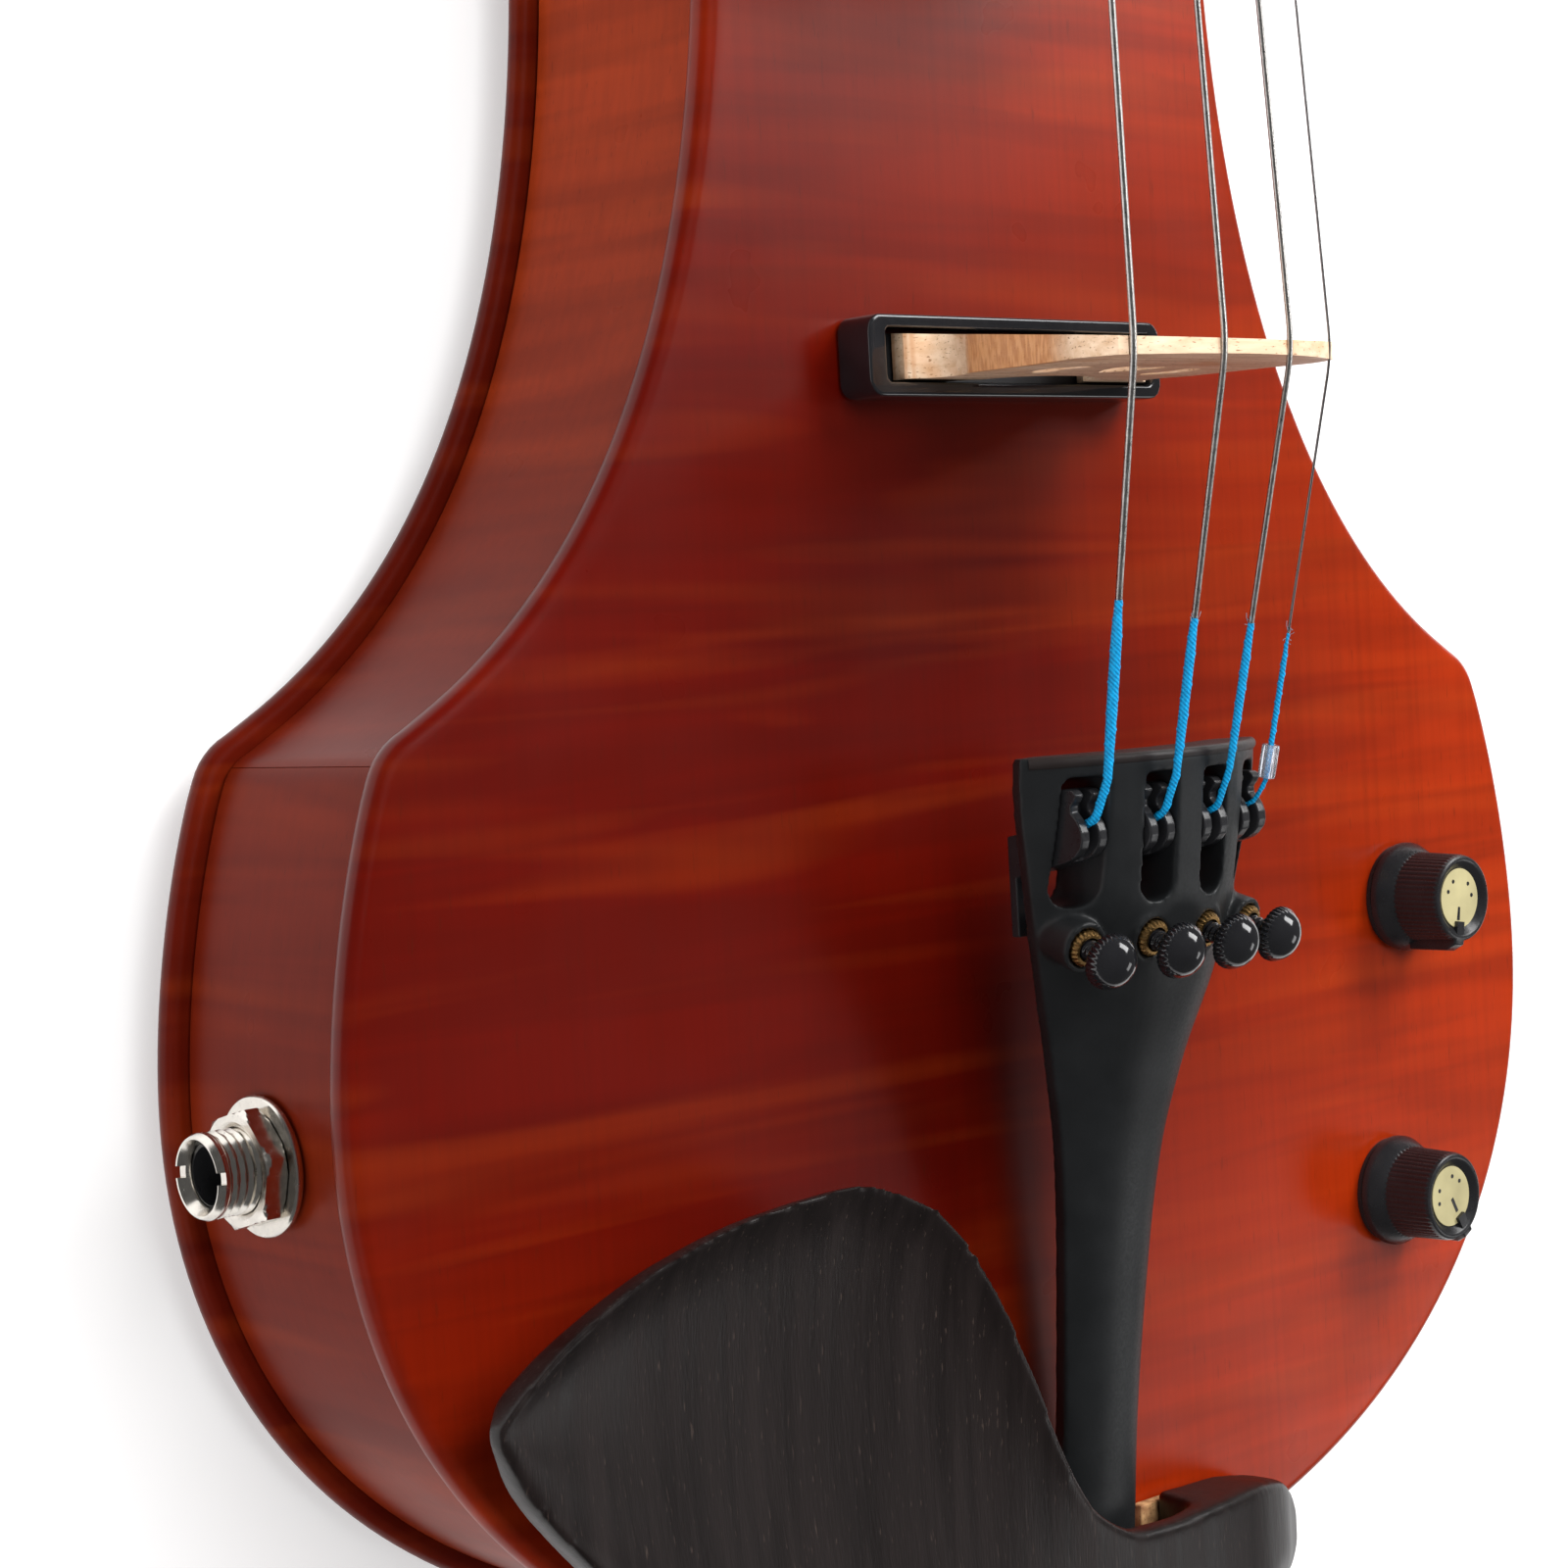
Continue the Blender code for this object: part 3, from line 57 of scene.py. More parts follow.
TOP_LOW, TOP_HIGH = (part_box("top_plate")[k] for k in (0, 1))
TOP_Z = TOP_HIGH.z
TOP_THICKNESS = TOP_HIGH.z - TOP_LOW.z
BODY_BOTTOM_Y, BODY_TOP_Y = TOP_LOW.y, TOP_HIGH.y
LOWER_HALF_WIDTH = TOP_HIGH.x
RIB_LOW_Z, RIB_HIGH_Z = (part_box("bass_waist_rib")[k].z for k in (0, 1))

# Design dimensions that the frame's boxes don't show
WAIST_HALF_WIDTH = 42.6 * MM
UPPER_HALF_WIDTH = 80 * MM
NECK_JOINT_HALF_WIDTH = 17 * MM
LOWER_CORNER = (93 * MM, -38.5 * MM)
UPPER_CORNER = (72 * MM, 144 * MM)
CORNER_CUT = 3.6 * MM
BACK_ARCH = 6 * MM
BACK_ARCH_WIDTH = 30 * MM
BACK_THICKNESS = 3.5 * MM
EDGE_OVERHANG = 2.5 * MM
RIB_THICKNESS = 1.5 * MM
STRING_LENGTH = 328 * MM
NUT_Y = STRING_LENGTH
CROWN_Z = TOP_Z + 41 * MM
CROWN_RADIUS = 42 * MM
NUT_STRING_Z = TOP_Z + 24 * MM
SPACING_BRIDGE, SPACING_NUT, SPACING_TAIL = 11.5 * MM, 5.5 * MM, 9.4 * MM
STRING_RADII = {"g": 0.41 * MM, "d": 0.38 * MM, "a": 0.34 * MM, "e": 0.16 * MM}
JACK_Z = 25.2 * MM
JACK_Y = -83 * MM
TUNER_PIVOT_Y = -56 * MM
TUNER_SCREW_Y = -66 * MM  # where a screw's axis crosses the tuners' bed
TUNER_SCREW_TILT = math.radians(17)
TUNER_SCREW_FANS = {"g": -7.5, "d": -2.0, "a": 2.0, "e": 7.5}  # degrees outwards
SCREW_REACH = 5.4 * MM  # of a tuner screw's tip under the bed
KNOB_TOP_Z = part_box("volume_knob")[1].z


def centre_of(node):
    low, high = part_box(node)
    return (low + high) / 2


def in_mm(points):
    """Pairs of lengths that are listed in mm."""
    return [(a * MM, b * MM) for a, b in points]


# ---------------------------------------------------------------- numbers and curves


def blend(low, high, t):
    return low + (high - low) * t


def smoothstep(t):
    t = max(0.0, min(1.0, t))
    return t * t * (3 - 2 * t)


def reading(pairs, x):
    """A smooth reading of (x, value) pairs in rising x, which never overshoots them."""
    if x <= pairs[0][0]:
        return pairs[0][1]
    if x >= pairs[-1][0]:
        return pairs[-1][1]
    slopes = [(v1 - v0) / (x1 - x0) for (x0, v0), (x1, v1) in zip(pairs, pairs[1:])]
    k = next(k for k in range(len(slopes)) if x <= pairs[k + 1][0])
    tangents = []
    for j in (k, k + 1):
        before, after = slopes[max(j - 1, 0)], slopes[min(j, len(slopes) - 1)]
        tangents.append(2 * before * after / (before + after) if before * after > 0 else 0)
    (x0, v0), (x1, v1) = pairs[k : k + 2]
    span = x1 - x0
    t = (x - x0) / span
    return (
        v0 * (1 + 2 * t) * (1 - t) ** 2
        + span * tangents[0] * t * (1 - t) ** 2
        + v1 * t * t * (3 - 2 * t)
        + span * tangents[1] * t * t * (t - 1)
    )


def bezier(points, count):
    """Points along a cubic Bezier, without its last one."""
    padded = [Vector((*point, 0)) for point in points]
    return [point.to_2d() for point in geometry.interpolate_bezier(*padded, count + 1)][:-1]


def smooth_loop(points, steps):
    """A closed Catmull-Rom curve through the points."""
    made = []
    count = len(points)
    for k in range(count):
        p0, p1, p2, p3 = (Vector(points[(k + j) % count]) for j in (-1, 0, 1, 2))
        for j in range(steps):
            t = j / steps
            made.append(
                (p1 * 2 + (p2 - p0) * t + (p0 * 2 - p1 * 5 + p2 * 4 - p3) * t**2
                 + (p1 * 3 - p0 - p2 * 3 + p3) * t**3) / 2
            )
    return made


def smooth_path(points, steps, cut):
    """An open path with each bend rounded off over the given length."""
    points = [Vector(point) for point in points]
    made = [points[0]]
    for before, corner, after in zip(points, points[1:], points[2:]):
        reach = min(cut, (before - corner).length * 0.45, (after - corner).length * 0.45)
        start = corner + (before - corner).normalized() * reach
        end = corner + (after - corner).normalized() * reach
        for k in range(steps + 1):
            t = k / steps
            made.append(start * (1 - t) ** 2 + corner * 2 * t * (1 - t) + end * t * t)
    return [*made, points[-1]]


def rounded_rectangle(span_x, span_y, radius):
    points = []
    steps = 6
    corners = (
        (span_x[1] - radius, span_y[1] - radius, 0),
        (span_x[0] + radius, span_y[1] - radius, 90),
        (span_x[0] + radius, span_y[0] + radius, 180),
        (span_x[1] - radius, span_y[0] + radius, 270),
    )
    for x, y, start in corners:
        for k in range(steps + 1):
            turn = math.radians(start + 90 * k / steps)
            points.append((x + radius * math.cos(turn), y + radius * math.sin(turn)))
    return points


# ---------------------------------------------------------------- meshes


def mesh_from(bm, name="piece"):
    bmesh.ops.remove_doubles(bm, verts=bm.verts, dist=0.0005 * MM)
    bmesh.ops.recalc_face_normals(bm, faces=bm.faces)
    mesh = bpy.data.meshes.new(name)
    bm.to_mesh(mesh)
    bm.free()
    return mesh


def loft_mesh(rings, ring_shaped=False):
    """A closed solid through rings of equal length. Ring shaped joins the last ring to the first."""
    bm = bmesh.new()
    rings = [[bm.verts.new(point) for point in ring] for ring in rings]
    pairs = list(zip(rings, rings[1:]))
    if ring_shaped:
        pairs.append((rings[-1], rings[0]))
    for lower, upper in pairs:
        for k in range(len(lower)):
            after = (k + 1) % len(lower)
            bm.faces.new((lower[k], lower[after], upper[after], upper[k]))
    if not ring_shaped:
        bm.faces.new(rings[0])
        bm.faces.new(rings[-1])
    return mesh_from(bm)


def sheet_mesh(rows):
    """A closed solid between two surfaces. Each row is a list of (lower point, upper point)."""
    return loft_mesh([[low for low, _ in row] + [high for _, high in reversed(row)] for row in rows])


def axis_frame(start, direction):
    return Matrix.Translation(start) @ Vector(direction).to_track_quat("Z", "Y").to_matrix().to_4x4()


def turned_mesh(profile, start, direction, sides=64, ring_shaped=False, shape=None):
    """A turned solid from (radius, height) pairs. shape(radius, height, turn) may change each radius."""
    place = axis_frame(start, direction)
    rings = []
    for radius, height in profile:
        ring = []
        for k in range(sides):
            turn = 2 * math.pi * k / sides
            reach = shape(radius, height, turn) if shape else radius
            reach = max(reach, 0.002 * MM)
            ring.append(place @ Vector((reach * math.cos(turn), reach * math.sin(turn), height)))
        rings.append(ring)
    return loft_mesh(rings, ring_shaped)


def plate_mesh(outline, low, high, holes=()):
    """A flat plate from a 2D curve."""
    curve = bpy.data.curves.new("plate", "CURVE")
    curve.dimensions = "2D"
    curve.fill_mode = "BOTH"
    curve.extrude = (high - low) / 2
    for points in (outline, *holes):
        spline = curve.splines.new("POLY")
        spline.points.add(len(points) - 1)
        for point, place in zip(spline.points, points):
            point.co = (place[0], place[1], 0, 1)
        spline.use_cyclic_u = True
    mesh = mesh_of_curve(curve)
    mesh.transform(Matrix.Translation((0, 0, (low + high) / 2)))
    return mesh


def tube_mesh(points, radius, resolution=5, radii=None):
    """A round tube along the points. radii, one for each point, are factors of the radius."""
    curve = bpy.data.curves.new("tube", "CURVE")
    curve.dimensions = "3D"
    curve.bevel_depth = radius
    curve.bevel_resolution = resolution
    curve.use_fill_caps = True
    spline = curve.splines.new("POLY")
    spline.points.add(len(points) - 1)
    for k, place in enumerate(points):
        spline.points[k].co = (*place, 1)
        spline.points[k].radius = radii[k] if radii else 1
    return mesh_of_curve(curve)


def mesh_of_curve(curve):
    obj = bpy.data.objects.new("work", curve)
    SCENE.collection.objects.link(obj)
    bpy.context.view_layer.update()
    mesh = bpy.data.meshes.new_from_object(obj.evaluated_get(bpy.context.evaluated_depsgraph_get()))
    bpy.data.objects.remove(obj, do_unlink=True)
    bm = bmesh.new()
    bm.from_mesh(mesh)
    return mesh_from(bm)


def modified(mesh, *modifiers):
    """The mesh after modifiers, each a kind and its settings."""
    obj = bpy.data.objects.new("work", mesh)
    SCENE.collection.objects.link(obj)
    for kind, settings in modifiers:
        modifier = obj.modifiers.new(kind.lower(), kind)
        for setting, value in settings.items():
            setattr(modifier, setting, value)
    bpy.context.view_layer.update()
    made = bpy.data.meshes.new_from_object(obj.evaluated_get(bpy.context.evaluated_depsgraph_get()))
    bpy.data.objects.remove(obj, do_unlink=True)
    return made


def joined(mesh, others, operation="UNION"):
    """The mesh joined with others, or cut by them, one after another."""
    for other in others:
        tool = bpy.data.objects.new("tool", other)
        SCENE.collection.objects.link(tool)
        mesh = modified(mesh, ("BOOLEAN", {"operation": operation, "object": tool}))
        bpy.data.objects.remove(tool, do_unlink=True)
    return mesh


def cut(mesh, *others):
    return joined(mesh, others, "DIFFERENCE")


def softened(mesh, voxel, rounds=4):
    """The mesh with its edges worn round, as a moulded or carved piece has them."""
    remesh = ("REMESH", {"mode": "VOXEL", "voxel_size": voxel})
    return modified(mesh, remesh, ("SMOOTH", {"factor": 0.5, "iterations": rounds}))


def bevelled(mesh, width, segments=3):
    bm = bmesh.new()
    bm.from_mesh(mesh)
    bmesh.ops.dissolve_limit(bm, angle_limit=math.radians(1), verts=bm.verts, edges=bm.edges)
    bm.to_mesh(mesh)
    bm.free()
    settings = {"width": width, "segments": segments, "limit_method": "ANGLE"}
    return modified(mesh, ("BEVEL", {**settings, "angle_limit": math.radians(32)}))


def cylinder_mesh(start, end, radius, sides=48):
    start, end = Vector(start), Vector(end)
    return turned_mesh([(radius, 0), (radius, (end - start).length)], start, end - start, sides)


def box_mesh(low, high):
    low, high = Vector(low), Vector(high)
    ring = [(low.x, low.y), (high.x, low.y), (high.x, high.y), (low.x, high.y)]
    return loft_mesh([[(x, y, z) for x, y in ring] for z in (low.z, high.z)])


def copy_of(node):
    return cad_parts[node].data.copy()


def thread(pitch, depth, low, high):
    """A shape for turned_mesh that cuts a helical thread between two heights."""

    def shape(radius, height, turn):
        if not low < height < high or radius < depth * 4:
            return radius
        phase = (height / pitch + turn / (2 * math.pi)) % 1
        ends = min(1, (height - low) / pitch, (high - height) / pitch)
        return radius - depth * ends * abs(2 * phase - 1)

    return shape


def rod_profile(radius, low, high, step):
    """Closely spaced rings along a rod, for a thread to be cut in."""
    count = max(2, round((high - low) / step))
    return [(radius, blend(low, high, k / count)) for k in range(count + 1)]


def add(name, mesh, look, body="violin", replaces=(), sharp=40):
    """Adds a finished piece: its material, its body and the nodes that it stands for."""
    obj = bpy.data.objects.new(name, mesh)
    SCENE.collection.objects.link(obj)
    mesh.materials.clear()
    mesh.materials.append(look)
    mesh.shade_smooth()
    mesh.set_sharp_from_angle(angle=math.radians(sharp))
    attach(obj, body)
    if replaces:
        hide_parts(*replaces)


def keep(node, look):
    """A CAD node that stays, with a finished material."""
    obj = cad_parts[node]
    obj.data.materials.clear()
    obj.data.materials.append(look)


# ---------------------------------------------------------------- materials


def new_material(name, **inputs):
    made = bpy.data.materials.new(name)
    made.use_nodes = True
    shader = made.node_tree.nodes["Principled BSDF"]
    for label, value in inputs.items():
        shader.inputs[label.replace("_", " ")].default_value = value
    return made, made.node_tree, shader


def node(tree, kind, inputs=None, **settings):
    made = tree.nodes.new("ShaderNode" + kind)
    for setting, value in settings.items():
        setattr(made, setting, value)
    for label, value in (inputs or {}).items():
        if isinstance(value, bpy.types.NodeSocket):
            tree.links.new(value, made.inputs[label])
        else:
            made.inputs[label].default_value = value
    return made


def coordinates(tree, scale=(1, 1, 1), turn=(0, 0, 0)):
    """Object coordinates, which are metres in the frame of the parts, scaled."""
    place = node(tree, "TexCoord").outputs["Object"]
    return node(tree, "Mapping", {"Vector": place, "Scale": scale, "Rotation": turn}).outputs[0]


def noise(tree, scale, detail=2.0, distortion=0.0, turn=(0, 0, 0)):
    """Noise whose scale is in cycles to the metre along each axis."""
    inputs = {"Vector": coordinates(tree, scale, turn), "Scale": 1.0, "Detail": detail}
    return node(tree, "TexNoise", {**inputs, "Distortion": distortion}).outputs["Fac"]


def levels(tree, value, low, high, out_low=0.0, out_high=1.0):
    inputs = {"Value": value, "From Min": low, "From Max": high, "To Min": out_low, "To Max": out_high}
    return node(tree, "MapRange", inputs).outputs[0]


def mixed(tree, factor, first, second):
    """A colour mix. Colours are (r, g, b) or sockets."""
    made = tree.nodes.new("ShaderNodeMix")
    made.data_type = "RGBA"
    for index, value in ((0, factor), (6, first), (7, second)):
        if isinstance(value, bpy.types.NodeSocket):
            tree.links.new(value, made.inputs[index])
        else:
            made.inputs[index].default_value = value if index == 0 else (*value, 1)
    return made.outputs[2]


def maths(tree, operation, first, second):
    made = node(tree, "Math", operation=operation)
    for index, value in enumerate((first, second)):
        if isinstance(value, bpy.types.NodeSocket):
            tree.links.new(value, made.inputs[index])
        else:
            made.inputs[index].default_value = value
    return made.outputs[0]


def bump(tree, shader, height, distance, strength=1.0):
    made = node(tree, "Bump", {"Height": height, "Distance": distance, "Strength": strength})
    tree.links.new(made.outputs[0], shader.inputs["Normal"])


def link(tree, value, shader, label):
    tree.links.new(value, shader.inputs[label])


def lacquered_maple(name, deep, warm, painted_shade_centre, painted_shade_reach, gloss=0.20):
    """Satin-lacquered flamed maple: painted shade deepens it near the centre, painted light warms it past the
    reach.
    """
    made, tree, shader = new_material(name, Specular_IOR_Level=gloss)
    # Painted shade and light: the colour darkens towards the centre, over a wobbled edge, and turns warm
    # beyond the reach.
    inputs = {0: node(tree, "TexCoord").outputs["Object"], 1: painted_shade_centre}
    away = node(tree, "VectorMath", inputs, operation="DISTANCE").outputs["Value"]
    cloud = noise(tree, (11, 8, 11), 2.0)
    reach = maths(tree, "ADD", away, levels(tree, cloud, 0.3, 0.7, -0.012, 0.012))
    colour = mixed(tree, levels(tree, reach, painted_shade_reach[0], painted_shade_reach[1]), deep, warm)
    curls = noise(tree, (13, 190, 13), 2.0, 0.8)
    colour = mixed(tree, levels(tree, curls, 0.38, 0.60, 0.26, 0.0), colour, (0.040, 0.002, 0.001))
    curls_light = noise(tree, (10, 130, 10), 2.0, 0.6, turn=(0, 0, 0.04))
    colour = mixed(tree, levels(tree, curls_light, 0.5, 0.75, 0.0, 0.10), colour, (0.66, 0.09, 0.008))
    grain = noise(tree, (900, 9, 900), 3.0, 0.2)
    colour = mixed(tree, levels(tree, grain, 0.35, 0.62, 0.12, 0.0), colour, (0.04, 0.003, 0.001))
    pores = noise(tree, (2600, 260, 2600), 2.0)
    colour = mixed(tree, levels(tree, pores, 0.66, 0.74, 0.0, 0.35), colour, (0.05, 0.006, 0.002))
    link(tree, colour, shader, "Base Color")
    sheen = noise(tree, (60, 60, 60), 3.0)
    link(tree, levels(tree, sheen, 0.3, 0.7, 0.27, 0.34), shader, "Roughness")
    bump(tree, shader, maths(tree, "ADD", grain, maths(tree, "MULTIPLY", pores, 0.5)), 0.02 * MM, 0.25)
    return made


def bare_wood(name, pale, dark):
    """Unfinished wood with fine grain and small pores."""
    made, tree, shader = new_material(name)
    grain = noise(tree, (700, 22, 700), 4.0, 0.3)
    colour = mixed(tree, levels(tree, grain, 0.35, 0.68), pale, dark)
    flecks = noise(tree, (1680, 52.8, 1680), 2.0)
    colour = mixed(tree, levels(tree, flecks, 0.62, 0.7, 0.0, 0.6), colour, tuple(c * 0.45 for c in dark))
    link(tree, colour, shader, "Base Color")
    link(tree, levels(tree, grain, 0.3, 0.7, 0.48, 0.66), shader, "Roughness")
    bump(tree, shader, grain, 0.05 * MM, 0.5)
    return made


def bridge_wood(name):
    """Bare maple: fine streaks, dark flecks and warm patches, with end grain up the bass side's edge."""
    made, tree, shader = new_material(name, Specular_IOR_Level=0.35)
    streaks = noise(tree, (90, 900, 800), 4.0, 0.3)
    colour = mixed(tree, levels(tree, streaks, 0.3, 0.7), (0.80, 0.60, 0.43), (0.60, 0.39, 0.24))
    flecks = noise(tree, (1000, 4200, 2600), 2.0)
    colour = mixed(tree, levels(tree, flecks, 0.62, 0.70, 0.0, 0.85), colour, (0.24, 0.12, 0.06))
    patches = noise(tree, (75, 90, 120), 2.0, 0.8)
    colour = mixed(tree, levels(tree, patches, 0.56, 0.66, 0.0, 0.45), colour, (0.62, 0.27, 0.09))
    split = node(tree, "SeparateXYZ", {0: node(tree, "TexCoord").outputs["Object"]})
    across, up = split.outputs["X"], split.outputs["Z"]
    edge = levels(tree, across, -18.7 * MM, -18.3 * MM, 1.0, 0.0)
    patch = maths(tree, "MULTIPLY", edge, levels(tree, up, TOP_Z + 10.6 * MM, TOP_Z + 11.4 * MM))
    patch = maths(tree, "MULTIPLY", patch, levels(tree, up, TOP_Z + 27 * MM, TOP_Z + 31 * MM, 1.0, 0.0))
    lines = noise(tree, (500, 500, 2600), 1.0)
    orange = mixed(tree, levels(tree, lines, 0.4, 0.6), (0.60, 0.28, 0.11), (0.44, 0.17, 0.055))
    colour = mixed(tree, maths(tree, "MULTIPLY", patch, 0.85), colour, orange)
    bands = noise(tree, (40, 40, 900), 1.0, 0.3)
    ankle = maths(tree, "MULTIPLY", edge, levels(tree, up, TOP_Z + 9 * MM, TOP_Z + 11 * MM, 1.0, 0.0))
    ankle = maths(tree, "MULTIPLY", ankle, levels(tree, bands, 0.48, 0.56, 0.0, 0.55))
    colour = mixed(tree, ankle, colour, (0.50, 0.22, 0.09))
    link(tree, colour, shader, "Base Color")
    link(tree, levels(tree, streaks, 0.3, 0.7, 0.42, 0.58), shader, "Roughness")
    bump(tree, shader, streaks, 0.04 * MM, 0.5)
    return made


def ebony_wood(name, turn=(0, 0, 0.95)):
    """Oiled ebony: nearly black, with brown streaks and short open pores."""
    made, tree, shader = new_material(name, Specular_IOR_Level=0.3)
    streaks = noise(tree, (420, 24, 260), 4.0, 0.4, turn)
    base = (0.006, 0.0042, 0.0040)
    colour = mixed(tree, levels(tree, streaks, 0.35, 0.7), base, tuple(c * 1.9 for c in base))
    pores = noise(tree, (3400, 420, 2600), 2.0, 0.0, turn)
    colour = mixed(tree, levels(tree, pores, 0.67, 0.73, 0.0, 0.5), colour, (0.060, 0.042, 0.034))
    link(tree, colour, shader, "Base Color")
    link(tree, levels(tree, streaks, 0.3, 0.7, 0.34, 0.44), shader, "Roughness")
    depth = maths(tree, "SUBTRACT", streaks, maths(tree, "MULTIPLY", pores, 0.8))
    bump(tree, shader, depth, 0.06 * MM, 0.5)
    return made


def moulded(name, colour, low, high, grain=1800, depth=0.02 * MM, **inputs):
    """Moulded or painted material: a fine even texture, and slightly uneven gloss and tint."""
    made, tree, shader = new_material(name, **inputs)
    cloud = noise(tree, (140, 140, 140), 3.0)
    fine = noise(tree, (grain, grain, grain), 3.0)
    pale = tuple(c * 1.5 + 0.002 for c in colour)
    link(tree, mixed(tree, levels(tree, cloud, 0.3, 0.75), colour, pale), shader, "Base Color")
    link(tree, levels(tree, fine, 0.3, 0.7, low, high), shader, "Roughness")
    bump(tree, shader, fine, depth, 0.6)
    return made


def plated(name, colour, low, high):
    """Bare or plated metal, with fine marks and small dull spots."""
    made, tree, shader = new_material(name, Metallic=1.0)
    marks = noise(tree, (900, 900, 900), 4.0)
    spots = noise(tree, (2400, 2400, 2400), 2.0)
    dark = tuple(c * 0.62 for c in colour)
    tint = mixed(tree, levels(tree, marks, 0.3, 0.7, 0.35, 0.0), colour, dark)
    tint = mixed(tree, levels(tree, spots, 0.68, 0.74, 0.0, 0.6), tint, tuple(c * 0.3 for c in colour))
    link(tree, tint, shader, "Base Color")
    link(tree, levels(tree, marks, 0.3, 0.7, low, high), shader, "Roughness")
    bump(tree, shader, marks, 0.01 * MM, 0.5)
    return made


WAVE_CYCLE = 0.31416  # the scale at which the wave texture runs one cycle to a unit


def wound(name, colour, dark, turns, metallic, roughness, slant=0.0, depth=0.05 * MM):
    """Close turns round a string or cord, in turns to the metre, with painted shade between. A slant lays
    them over.
    """
    made, tree, shader = new_material(name, Metallic=metallic)
    place = coordinates(tree, (turns * slant, turns, turns * slant))
    inputs = {"Vector": place, "Scale": WAVE_CYCLE, "Distortion": 0.6, "Detail": 1.0}
    bands = node(tree, "TexWave", inputs, bands_direction="DIAGONAL" if slant else "Y").outputs["Fac"]
    fuzz = noise(tree, (2500, 900, 2500), 3.0)
    # Painted shade: darker in the grooves between the turns.
    tint = mixed(tree, levels(tree, bands, 0.1, 0.8), dark, colour)
    pale = tuple(min(1, c * 1.5) for c in colour)
    tint = mixed(tree, levels(tree, fuzz, 0.45, 0.75, 0.0, 0.5), tint, pale)
    link(tree, tint, shader, "Base Color")
    link(tree, levels(tree, fuzz, 0.3, 0.7, roughness - 0.07, roughness + 0.1), shader, "Roughness")
    bump(tree, shader, bands, depth, 0.9)
    return made


def cork_board(name):
    made, tree, shader = new_material(name)
    inputs = {"Vector": coordinates(tree, (900, 900, 900)), "Scale": 1.0}
    cells = node(tree, "TexVoronoi", inputs).outputs["Distance"]
    colour = mixed(tree, levels(tree, cells, 0.1, 0.9), (0.52, 0.30, 0.14), (0.22, 0.10, 0.045))
    grains = noise(tree, (2400, 2400, 2400), 2.0)
    colour = mixed(tree, levels(tree, grains, 0.6, 0.72, 0.0, 0.7), colour, (0.08, 0.04, 0.02))
    link(tree, colour, shader, "Base Color")
    link(tree, levels(tree, grains, 0.3, 0.7, 0.75, 0.9), shader, "Roughness")
    bump(tree, shader, cells, 0.1 * MM, 0.7)
    return made


def clear_tube(name):
    made, tree, shader = new_material(name, Transmission_Weight=0.9, IOR=1.46)
    cloud = noise(tree, (300, 300, 300), 2.0)
    tint = mixed(tree, levels(tree, cloud, 0.3, 0.7), (0.92, 0.95, 1.0), (0.80, 0.86, 0.95))
    link(tree, tint, shader, "Base Color")
    link(tree, levels(tree, cloud, 0.3, 0.7, 0.05, 0.14), shader, "Roughness")
    return made


# Each lacquer below has painted shade, darker round its centre, and painted light, warmer beyond its reach.
TOP_WOOD = lacquered_maple(
    "lacquered_top", (0.085, 0.0025, 0.0006), (0.33, 0.024, 0.002), (-0.045, -0.05, TOP_Z), (0.05, 0.16)
)
RIB_WOOD = lacquered_maple(
    "lacquered_ribs", (0.12, 0.010, 0.003), (0.34, 0.040, 0.008), (-0.09, -0.07, 0.01), (0.04, 0.15), 0.05
)
BACK_WOOD = lacquered_maple(
    "lacquered_back", (0.055, 0.003, 0.001), (0.09, 0.006, 0.002), (0.0, -0.05, 0.0), (0.03, 0.11), 0.10
)
NECK_WOOD = lacquered_maple(
    "lacquered_neck", (0.20, 0.028, 0.008), (0.33, 0.055, 0.010), (0.0, 0.33, 0.06), (0.03, 0.11)
)
PLAIN_WOOD = bare_wood("block_wood", (0.66, 0.46, 0.28), (0.50, 0.31, 0.17))
BRIDGE_WOOD = bridge_wood("bridge_wood")
EBONY = ebony_wood("ebony")
BOARD_EBONY = ebony_wood("board_ebony", turn=(0, 0, 0))
COMPOSITE = moulded("tailpiece_composite", (0.0055, 0.0060, 0.0065), 0.42, 0.54, 2600, 0.015 * MM)
SATIN_BLACK = moulded("satin_black", (0.009, 0.009, 0.010), 0.26, 0.38, 1500, 0.01 * MM)
GLOSS_BLACK = moulded("gloss_black", (0.006, 0.006, 0.007), 0.08, 0.16, 900, 0.004 * MM, Coat_Weight=0.4)
KNOB_BLACK = moulded("knob_black", (0.008, 0.008, 0.009), 0.24, 0.36, 1400, 0.01 * MM)
CREAM = moulded("cream_disc", (0.30, 0.265, 0.14), 0.42, 0.52, 1500, 0.01 * MM)
FRET = moulded("tailpiece_fret", (0.011, 0.008, 0.0075), 0.45, 0.55, 2600, 0.01 * MM)
PICKUP_CASE = moulded("pickup_case", (0.014, 0.014, 0.015), 0.45, 0.6)
BRASS = plated("brass", (0.40, 0.24, 0.09), 0.34, 0.50)
NICKEL = plated("nickel", (0.74, 0.70, 0.64), 0.16, 0.28)
STEEL = plated("steel", (0.42, 0.41, 0.41), 0.25, 0.38)
WINDING = wound("silver_winding", (0.68, 0.66, 0.63), (0.36, 0.35, 0.34), 7000, 1.0, 0.32, 0.0, 0.02 * MM)
FRAY = moulded("frayed_silk", (0.16, 0.24, 0.30), 0.6, 0.8, 2000, 0.02 * MM)
SILK = wound("blue_silk", (0.003, 0.28, 0.56), (0.001, 0.15, 0.34), 3400, 0.0, 0.55, 0.8, 0.05 * MM)
CORK = cork_board("cork")
CLEAR = clear_tube("clear_sleeve")
CORD = wound("tail_cord", (0.02, 0.02, 0.022), (0.006, 0.006, 0.006), 1200, 0.0, 0.55, 0.8)


# ---------------------------------------------------------------- stage, light and camera


FLOOR_DROP = 0.2 * MM  # the floor lies just under the back


